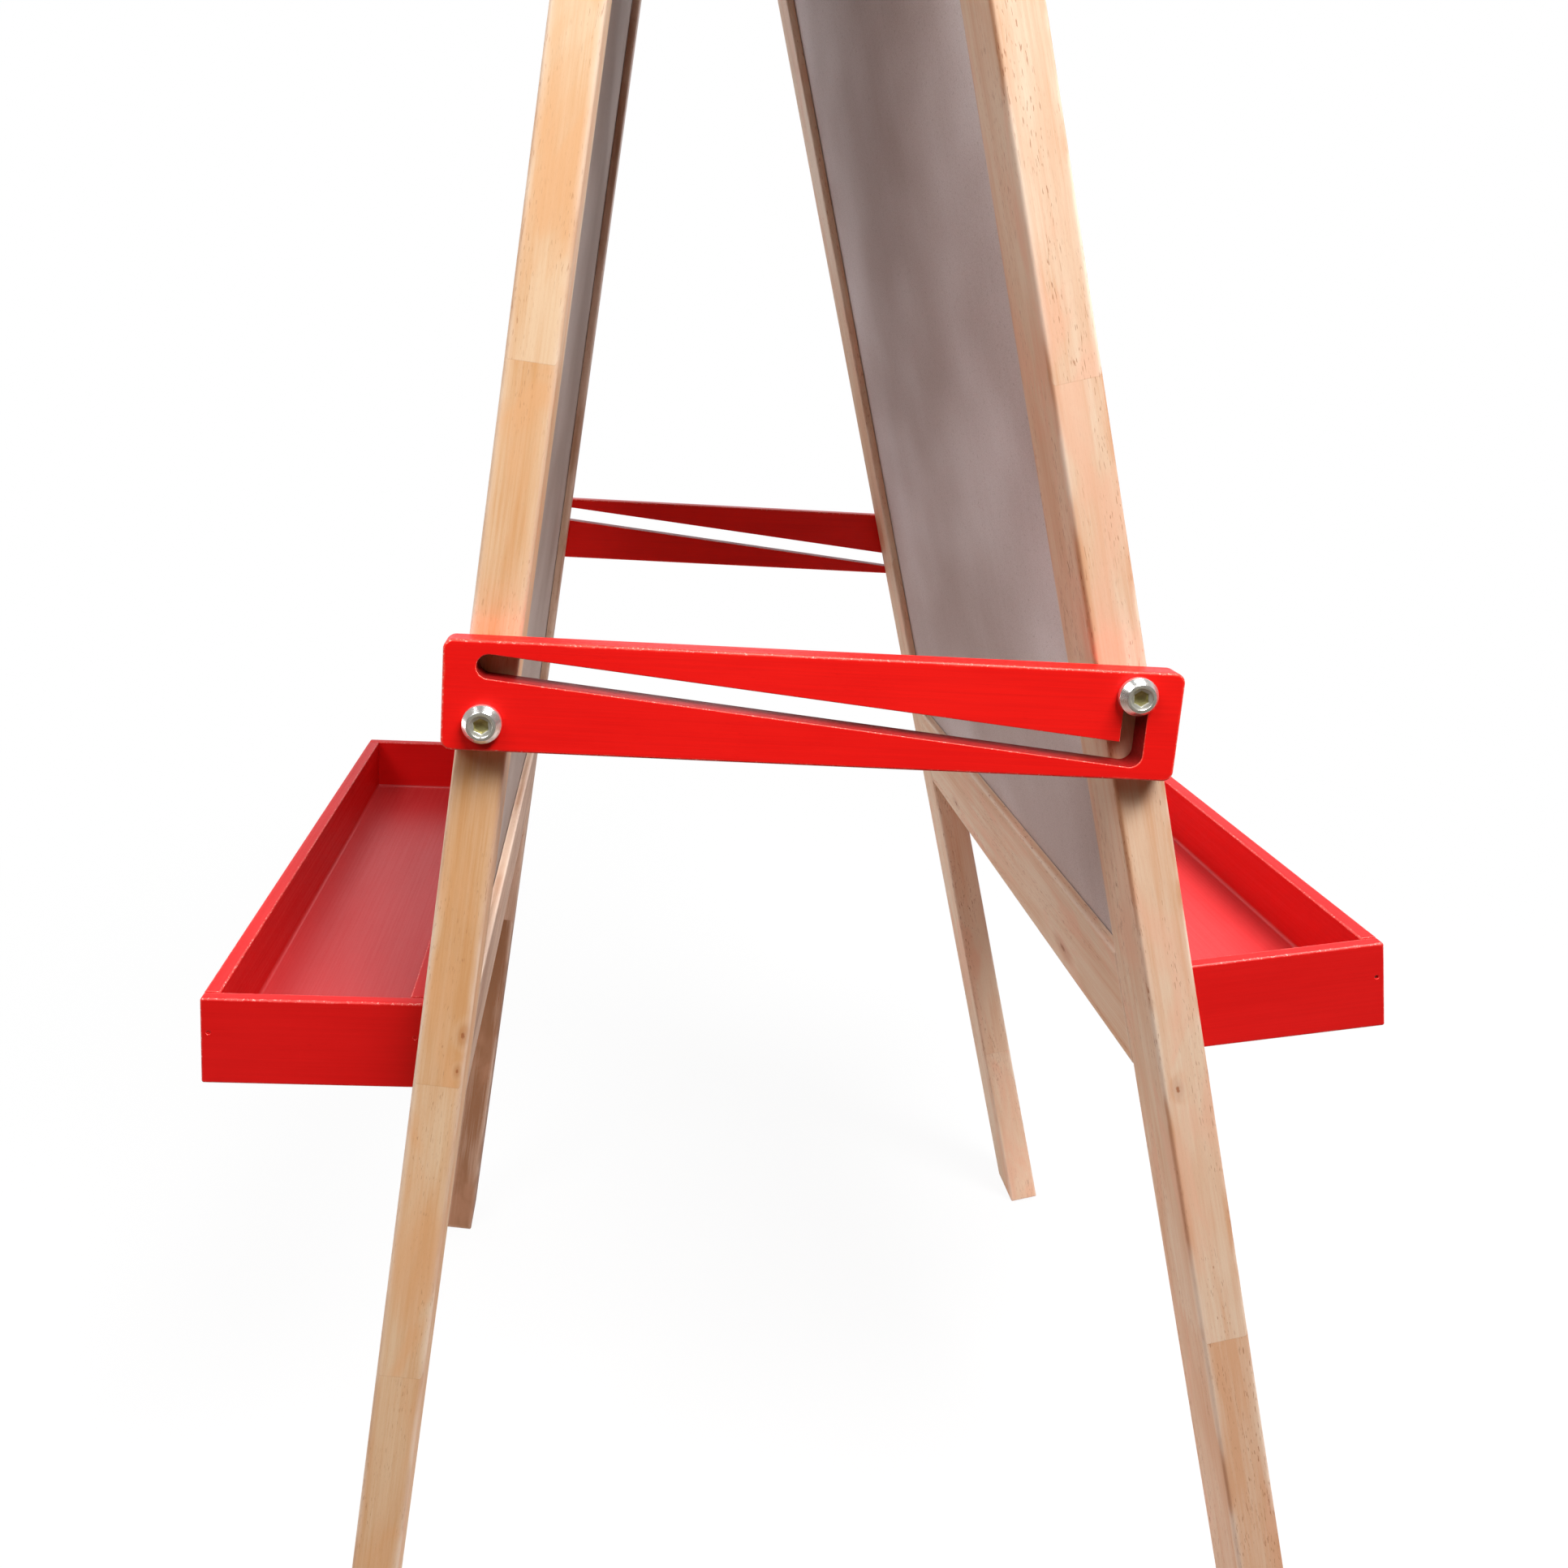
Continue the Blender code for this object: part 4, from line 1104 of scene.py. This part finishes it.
braceSettings = {
    "long": 0.280, "tall": 0.043, "corner": 0.004, "pivotIn": 0.0155, "pivotUp": 0.0113, "lockIn": 0.0183,
    "lockDown": 0.0092, "slotRound": 0.0047, "slotStart": (0.0018, 0.0217), "slotEnd": (0.24674, -0.0014),
    "notchTop": (0.24674, 0.0221), "pivotHole": 0.00405, "edge": 0.0010, "band": 0.0012,
    "endBand": 0.002, "endWear": 0.25, "slotEdge": 0.0004, "holeEdge": 0.0003, "holeBand": 0.0006,
}


def braceAxes(place, hand):
    # rows: along the brace, across it, and out to its own side; the brace hangs from its pivot
    s = braceSettings
    run, rise = s["long"] - s["pivotIn"] - s["lockIn"], s["tall"] - s["lockDown"] - s["pivotUp"]
    tilt = math.atan2(rise, run)
    c, d = math.cos(tilt), math.sin(tilt)
    pivot = np.array(joints[place + "_brace_swing"]["pos_m"]) * (1, 0, 1)
    return np.array([(c, 0, -d), (d, 0, c), (0, hand, 0)]), pivot


def slotLoop(s):
    # slot and notch as one loop: every corner but the one between them is rounded by half the width
    start, end, top = [np.array(s[key]) for key in ("slotStart", "slotEnd", "notchTop")]
    r = s["slotRound"]
    along = unit(end - start)
    left = np.array([-along[1], along[0]])

    def onLine(offset, x):      # point of the slot's side line at this x
        p = start + offset * left
        return p + along * (x - p[0]) / along[0]

    corners = [start - r * along - r * left, onLine(-r, end[0] + r), (top[0] + r, top[1] + r),
               (top[0] - r, top[1] + r), onLine(r, top[0] - r), start - r * along + r * left]
    return cornered(corners, [r, r, r, r, 0.0002, r], 12, 0.0, 0.0)


def buildBrace(place):
    s, hand, node = braceSettings, -1 if place == "near" else 1, place + "_brace"
    axes, pivot = braceAxes(place, hand)
    low, high = span(node, axes, pivot)
    x0, z0 = -s["pivotIn"], -s["pivotUp"]
    x1, z1 = x0 + s["long"], z0 + s["tall"]
    outline = cornered(box(x0, z0, x1, z1), s["corner"], 10, s["endBand"], s["endWear"])
    # the slot's walls take the darker paint: painted shade
    slot = {"loop": slotLoop(s), "edge": s["slotEdge"], "band": s["holeBand"], "zone": 1, "rimZone": 0}
    hole = {"loop": roundLoop((0, 0), s["pivotHole"]), "edge": s["holeEdge"], "band": s["holeBand"]}
    shell = slab(newShell(), outline, low[2], high[2], s["edge"], s["band"], 5, holes=[slot, hole])
    makePiece(node + "_plate", node, shell, axes, pivot, place + "_side_brace",
              [paints["bracePaint"], paints["slotShadePaint"]], (2, 1, 0))


for place in places:
    buildBrace(place)
print("braces made")

# bolts: bevelled head with a shallow dish round a hexagon socket; inserts of brass

boltSettings = {"head": 0.0075, "flat": 0.0054, "tall": 0.0042, "rim": 0.0018, "socket": 0.0027,
                "socketDeep": 0.0028, "shank": 0.00375, "thread": 0.0030, "reach": 0.0093, "pitch": 0.001,
                "threadDeep": 0.0005}


def buildBolt(node, place, body, threaded):
    s = boltSettings
    axes, tip, length = axialPlace(node, (0, -1 if place == "near" else 1, 0))
    flat, head, under, socket, deep = s["flat"], s["head"], -s["tall"], s["socket"], s["socketDeep"]
    rows = [   # radius, height, share of hexagon, finish
        (0.0016, -deep - 0.0003, 0, 2), (socket - 0.0001, -deep, 1, 2),
        (socket, -deep + 0.0002, 1, 2), (socket, -0.00085, 1, 2),
        (socket + 0.0002, -0.00066, 0.75, 1), (0.00345, -0.00052, 0, 1), (0.00415, -0.00026, 0, 1),
        (0.00432, -0.00010, 0, 0), (0.00440, -0.00002, 0, 1), (0.0046, 0, 0, 1), (flat - 0.0001, 0, 0, 1),
        (flat + 0.00010, -0.00006, 0, 0), (flat + 0.00025, -0.00022, 0, 0),
        (head - 0.00014, under + s["rim"] + 0.00012, 0, 0), (head - 0.00004, under + s["rim"], 0, 0),
        (head, under + s["rim"] - 0.00018, 0, 0), (head, under + 0.0003, 0, 0), (head - 0.00025, under, 0, 0),
        (s["shank"] + 0.0001, under, 0, 0), (s["shank"], under - 0.0001, 0, 0)]
    if threaded:
        reach = under - s["reach"]
        rows += [(s["shank"], reach + 0.0003, 0, 0), (s["shank"] - 0.0003, reach, 0, 0)]
        rows += [(s["thread"], h, 0, 0) for h in np.arange(reach - 0.0002, -length + 0.0008, -0.0002)]
        rows += [(s["thread"] - 0.0008, -length, 0, 0)]
    else:
        rows += [(s["shank"], -length + 0.0004, 0, 0), (s["shank"] - 0.0004, -length, 0, 0)]
    rows = np.array(rows)
    thread = (s["pitch"], s["threadDeep"], -length + 0.0006, under - s["reach"] - 0.0004) if threaded else None
    shell = turnedSolid(rows[:, :3], fullTurn(96), -deep - 0.0006, -length, rows[1:, 3].astype(int), thread, 2)
    makePiece(node + "_socket_head", node, shell, axes, tip, body,
              [metals[name] for name in ("brightZinc", "dullZinc", "socketZinc")], sharp=32.0, weighted=False)


insertSettings = {"bore": 0.0033, "outer": 0.0049, "pitch": 0.001, "ridge": 0.09}


def buildInsert(node, side, place):
    axes, tip, length = axialPlace(node, (0, -1 if place == "near" else 1, 0))
    s = insertSettings
    bore, outer = s["bore"], s["outer"]
    inside = [(bore, h) for h in np.arange(-length + 0.0004, -0.0006, 0.0002)]
    profile = [(outer - 0.0002, -0.0), (outer, -0.0003), (outer, -length + 0.0003), (outer - 0.0003, -length),
               (bore + 0.0004, -length)] + inside + [(bore + 0.0001, -0.0006), (bore + 0.0006, 0.0)]
    shell = newShell()
    rings = turned(shell, profile, fullTurn(64))
    grooves = shell["points"]
    radius = np.hypot(grooves[:, 0], grooves[:, 1])
    turn = np.arctan2(grooves[:, 1], grooves[:, 0]) / (2 * np.pi)
    inBore = (radius < bore + 1e-5) & (grooves[:, 2] < -0.0008)
    phase = (grooves[:, 2] / s["pitch"] - turn) % 1
    factor = np.where(inBore, 1 + s["ridge"] * (1 - 2 * abs(phase - 0.5)), 1)
    shell["points"][:, :2] *= factor[:, None]
    joinRings(shell, np.array([rings[-1], rings[0]]))
    makePiece(node + "_bush", node, shell, axes, tip, side + "_frame",
              [metals["insertBrass"]], sharp=36.0, weighted=False)


for place in places:
    buildBolt(place + "_pivot_bolt", place, "left_frame", True)
    buildBolt(place + "_lock_bolt", place, place + "_lock", False)
    buildInsert(place + "_pivot_insert", "left", place)
    buildInsert(place + "_lock_insert", "right", place)
print("bolts made")

# hinges: plates with rolled knuckles round a pin

hingeSettings = {"corner": 0.0024, "rollRound": 0.00243, "rollThick": 0.0013, "gap": 0.0003, "segments": 3,
                 "screwHole": 0.0014, "cone": (0.0014, 0.0012), "sweep": 262.0,
                 "plateTop": 0.0037, "inner": 0.0002, "thick": 0.0014, "outerCorner": 0.0004, "edge": 0.00018,
                 "band": 0.0006, "neckInto": 0.0003, "neckPull": 0.0014, "rollPull": 0.0016, "chamfer": 0.00018}


def knuckleStrip(shell, neckAt, neckTop, y0, y1, s):
    # a flat strip carried along a path: up out of the plate, a soft bend outwards, then round the pin
    t = np.linspace(0, 1, 9)[:, None]
    p0, p3 = np.array([neckAt, neckTop]), np.array([s["rollRound"], 0.0])
    p1, p2 = p0 - (0, s["neckPull"]), p3 + (0, s["rollPull"])
    bend = (1 - t) ** 3 * p0 + 3 * (1 - t) ** 2 * t * p1 + 3 * (1 - t) * t ** 2 * p2 + t ** 3 * p3
    turn = -np.radians(np.linspace(0, s["sweep"], 40))[1:]
    path = np.vstack([bend, s["rollRound"] * np.stack([np.cos(turn), np.sin(turn)], 1)])
    along = np.gradient(path, axis=0)
    along /= np.linalg.norm(along, axis=1)[:, None]
    outward = np.stack([-along[:, 1], along[:, 0]], 1)
    half, chamfer = s["rollThick"] / 2, s["chamfer"]
    section = np.array([(half, y0 + chamfer), (half, y1 - chamfer), (half - chamfer, y1), (-half + chamfer, y1),
                        (-half, y1 - chamfer), (-half, y0 + chamfer), (-half + chamfer, y0),
                        (half - chamfer, y0)])
    flat = path[:, None] + outward[:, None] * section[None, :, :1]
    points = np.concatenate([flat, np.broadcast_to(section[:, 1:], flat.shape[:2] + (1,))], -1)
    rings = addPoints(shell, points, 0.3)
    joinRings(shell, rings)
    closeWithFan(shell, rings[0], points[0].mean(0))
    closeWithFan(shell, rings[-1], points[-1].mean(0), up=False)


def buildLeaf(place, side):
    s, node = hingeSettings, f"{place}_hinge_leaf_{side}"
    plateAxes = frameAxes(side)[[2, 1, 0]]
    low, high = span(node, plateAxes)
    pinLow, pinHigh = span(place + "_hinge_pin", plateAxes)
    inner, thick, plateTop = s["inner"], s["thick"], s["plateTop"]
    screws = [span(f"{place}_hinge_screw_{side}_{end}", plateAxes) for end in ("a", "b")]
    outline = cornered(box(low[0], plateTop, high[0], high[1]),
                       [s["outerCorner"], s["outerCorner"], s["corner"], s["corner"]], 6, 0.001, 0.0)
    # the plate's face with the screw heads is the one nearer the hinge plane: it is built as the top
    flipped = plateAxes * np.array([[1], [1], [-1]])
    holes = [{"loop": roundLoop(((a + b) / 2)[:2], s["screwHole"], 36), "cone": s["cone"]} for a, b in screws]
    shell = slab(newShell(), outline, -inner - thick, -inner, s["edge"], s["band"], 2, holes=holes)
    length = (pinHigh[0] - pinLow[0]) / s["segments"]
    for i in range(s["segments"]):
        if (i % 2 == 0) == (side == "left"):
            y0, y1 = pinLow[0] + i * length + s["gap"], pinLow[0] + (i + 1) * length - s["gap"]
            strip = newShell()
            knuckleStrip(strip, inner + thick / 2, plateTop + s["neckInto"], y0, y1, s)
            # the strip is worked out as (out, down, along); the plate as (along, down, in)
            start = len(shell["points"])
            addPoints(shell, strip["points"][:, [2, 1, 0]] * (1, 1, -1), strip["rim"])
            shell["faces"] += [[start + k for k in f] for f in strip["faces"]]
            shell["zones"] += strip["zones"]
    makePiece(node + "_plate", node, shell, flipped, hingeLine, side + "_frame",
              [metals["hingeSteel"]], (1, 2, 0), sharp=35.0)


pinSettings = {"end": ((0.0006, 0.00003), (0.0011, 0.00014), (0.00138, 0.00034), (0.0015, 0.0007))}


def buildPin(place):
    node, end = place + "_hinge_pin", pinSettings["end"]      # radius and depth down the rounded end
    axes, tip, length = axialPlace(node, (0, -1, 0))
    profile = [(x, -depth) for x, depth in end] + [(x, -length + depth) for x, depth in end[::-1]]
    shell = turnedSolid(profile, fullTurn(24), 0, -length)
    makePiece(node + "_rod", node, shell, axes, tip, "left_frame", [metals["brightZinc"]],
              weighted=False)


for place in places:
    for side in sides:
        buildLeaf(place, side)
    buildPin(place)
print("hinges made")

# camera, floor and studio light

cameraView = {"place": (-0.0639, -0.5749, 0.6698), "yaw": 0.0210, "pitch": -0.1526, "roll": -0.0345,
              "lens": 24.29, "shiftX": 0.0816, "shiftY": -0.1737}


def buildCamera():
    s = cameraView
    camera = bpy.data.cameras.new("studioCamera")
    camera.lens, camera.sensor_width = s["lens"], 36.0
    camera.shift_x, camera.shift_y = s["shiftX"], s["shiftY"]
    camera.clip_start, camera.clip_end = 0.01, 100.0
    ahead = np.array([math.sin(s["yaw"]) * math.cos(s["pitch"]), math.cos(s["yaw"]) * math.cos(s["pitch"]),
                      math.sin(s["pitch"])])
    right = np.array([math.cos(s["yaw"]), -math.sin(s["yaw"]), 0.0])
    up = np.cross(right, ahead)
    c, d = math.cos(s["roll"]), math.sin(s["roll"])
    columns = np.stack([c * right + d * up, -d * right + c * up, -ahead], 1)
    holder = bpy.data.objects.new("studioCamera", camera)
    scene.collection.objects.link(holder)
    holder.matrix_world = Matrix.Translation(s["place"]) @ Matrix(columns.tolist()).to_4x4()
    scene.camera = holder


# the light that the floor throws up: in front of the easel, and under and behind it
floorThrow = ((0.12, 0.075, 0.055, 1), (0.66, 0.58, 0.54, 1))
floorReach = 14.0


def buildFloorSheet():
    # a wide flat sheet under the feet
    reach = floorReach
    mesh = bpy.data.meshes.new("paleFloor")
    mesh.from_pydata([(x, y, 0) for x, y in box(-reach, -reach, reach, reach)], [], [(0, 1, 2, 3)])
    material = bpy.data.materials.new("paleFloor")
    material.use_nodes = True
    tree = material.node_tree
    shader = tree.nodes["Principled BSDF"]
    where = addNode(tree, "TexCoord").outputs["Object"]
    tone = noise(tree, where, 3.0, 3.0)
    tree.links.new(mixed(tree, tone, (0.90, 0.90, 0.90, 1), (0.93, 0.93, 0.93, 1)), shader.inputs["Base Color"])
    shader.inputs["Roughness"].default_value = 0.75
    shader.inputs["Specular IOR Level"].default_value = 0.2
    # seen from the camera the sheet is pale and runs out into white, so no horizon shows; the light
    # it throws back up is the softer light of a warm wooden floor
    gap = vectors(tree, "LENGTH", where)
    seen = addNode(tree, "LightPath").outputs["Is Camera Ray"]
    white = addNode(tree, "Emission", {"Color": (1, 1, 1, 1), "Strength": 1.0})
    depth = addNode(tree, "SeparateXYZ", {0: where}).outputs[1]
    throw = mixed(tree, ramp(tree, depth, -0.45, 0.10), floorThrow[0], floorThrow[1])
    warm = addNode(tree, "BsdfDiffuse", {"Color": throw})
    pale = addNode(tree, "MixShader", {0: ramp(tree, gap, 0.35, 1.3, 0.93, 1.0), 1: shader.outputs[0],
                                       2: white.outputs[0]})
    both = addNode(tree, "MixShader", {0: seen, 1: warm.outputs[0], 2: pale.outputs[0]})
    tree.links.new(both.outputs[0], tree.nodes["Material Output"].inputs["Surface"])
    mesh.materials.append(material)
    sheet = bpy.data.objects.new("paleFloor", mesh)
    scene.collection.objects.link(sheet)


worldLevels = (0.08, 1.15)      # in front of the easel and behind it, as the two tones below
worldTones = ((1.0, 0.70, 0.52, 1), (0.98, 0.98, 1.0, 1))
lightSettings = {
    "key": {"place": (0.72, -0.98, 2.2), "aim": (0.0, -0.1, 0.5), "size": (1.1, 0.6), "power": 74.0},
    "fill": {"place": (-1.0, -1.0, 1.9), "aim": (0.0, 0.0, 0.5), "size": (0.9, 0.9), "power": 17.0},
    "low": {"place": (-1.5, 0.2, 0.25), "aim": (0.1, 0.0, 0.7), "size": (1.4, 0.5), "power": 5.0},
    "top": {"place": (0.0, 0.6, 2.9), "aim": (0.0, 0.0, 0.5), "size": (1.6, 1.6), "power": 5.0},
}


def buildLights():
    for name, s in lightSettings.items():
        lamp = bpy.data.lights.new(name + "Light", "AREA")
        lamp.shape, lamp.energy = "RECTANGLE", s["power"]
        lamp.size, lamp.size_y = s["size"]
        holder = bpy.data.objects.new(name + "Light", lamp)
        scene.collection.objects.link(holder)
        holder.location = s["place"]
        aim = Vector(s["aim"]) - Vector(s["place"])
        holder.rotation_euler = aim.to_track_quat("-Z", "Y").to_euler()
    world = bpy.data.worlds.new("studio")
    scene.world = world
    world.use_nodes = True
    tree = world.node_tree
    tree.nodes.clear()
    seen = addNode(tree, "Background", {"Color": (1, 1, 1, 1), "Strength": 1.0})
    # the room is bright behind the easel and dim in front of it
    toward = addNode(tree, "SeparateXYZ", {0: addNode(tree, "TexCoord").outputs["Generated"]})
    level = ramp(tree, toward.outputs[1], -0.2, 0.7, worldLevels[0], worldLevels[1])
    level = times(tree, level, ramp(tree, toward.outputs[2], 0.6, 0.9, 1.0, 0.25))
    hue = mixed(tree, ramp(tree, toward.outputs[1], -0.2, 0.3), worldTones[0], worldTones[1])
    lit = addNode(tree, "Background", {"Color": hue, "Strength": level})
    path = addNode(tree, "LightPath")
    both = addNode(tree, "MixShader", {0: path.outputs["Is Camera Ray"], 1: lit.outputs[0],
                                       2: seen.outputs[0]})
    output = addNode(tree, "OutputWorld")
    tree.links.new(both.outputs[0], output.inputs[0])


buildCamera()
buildFloorSheet()
buildLights()
print("camera and light set")
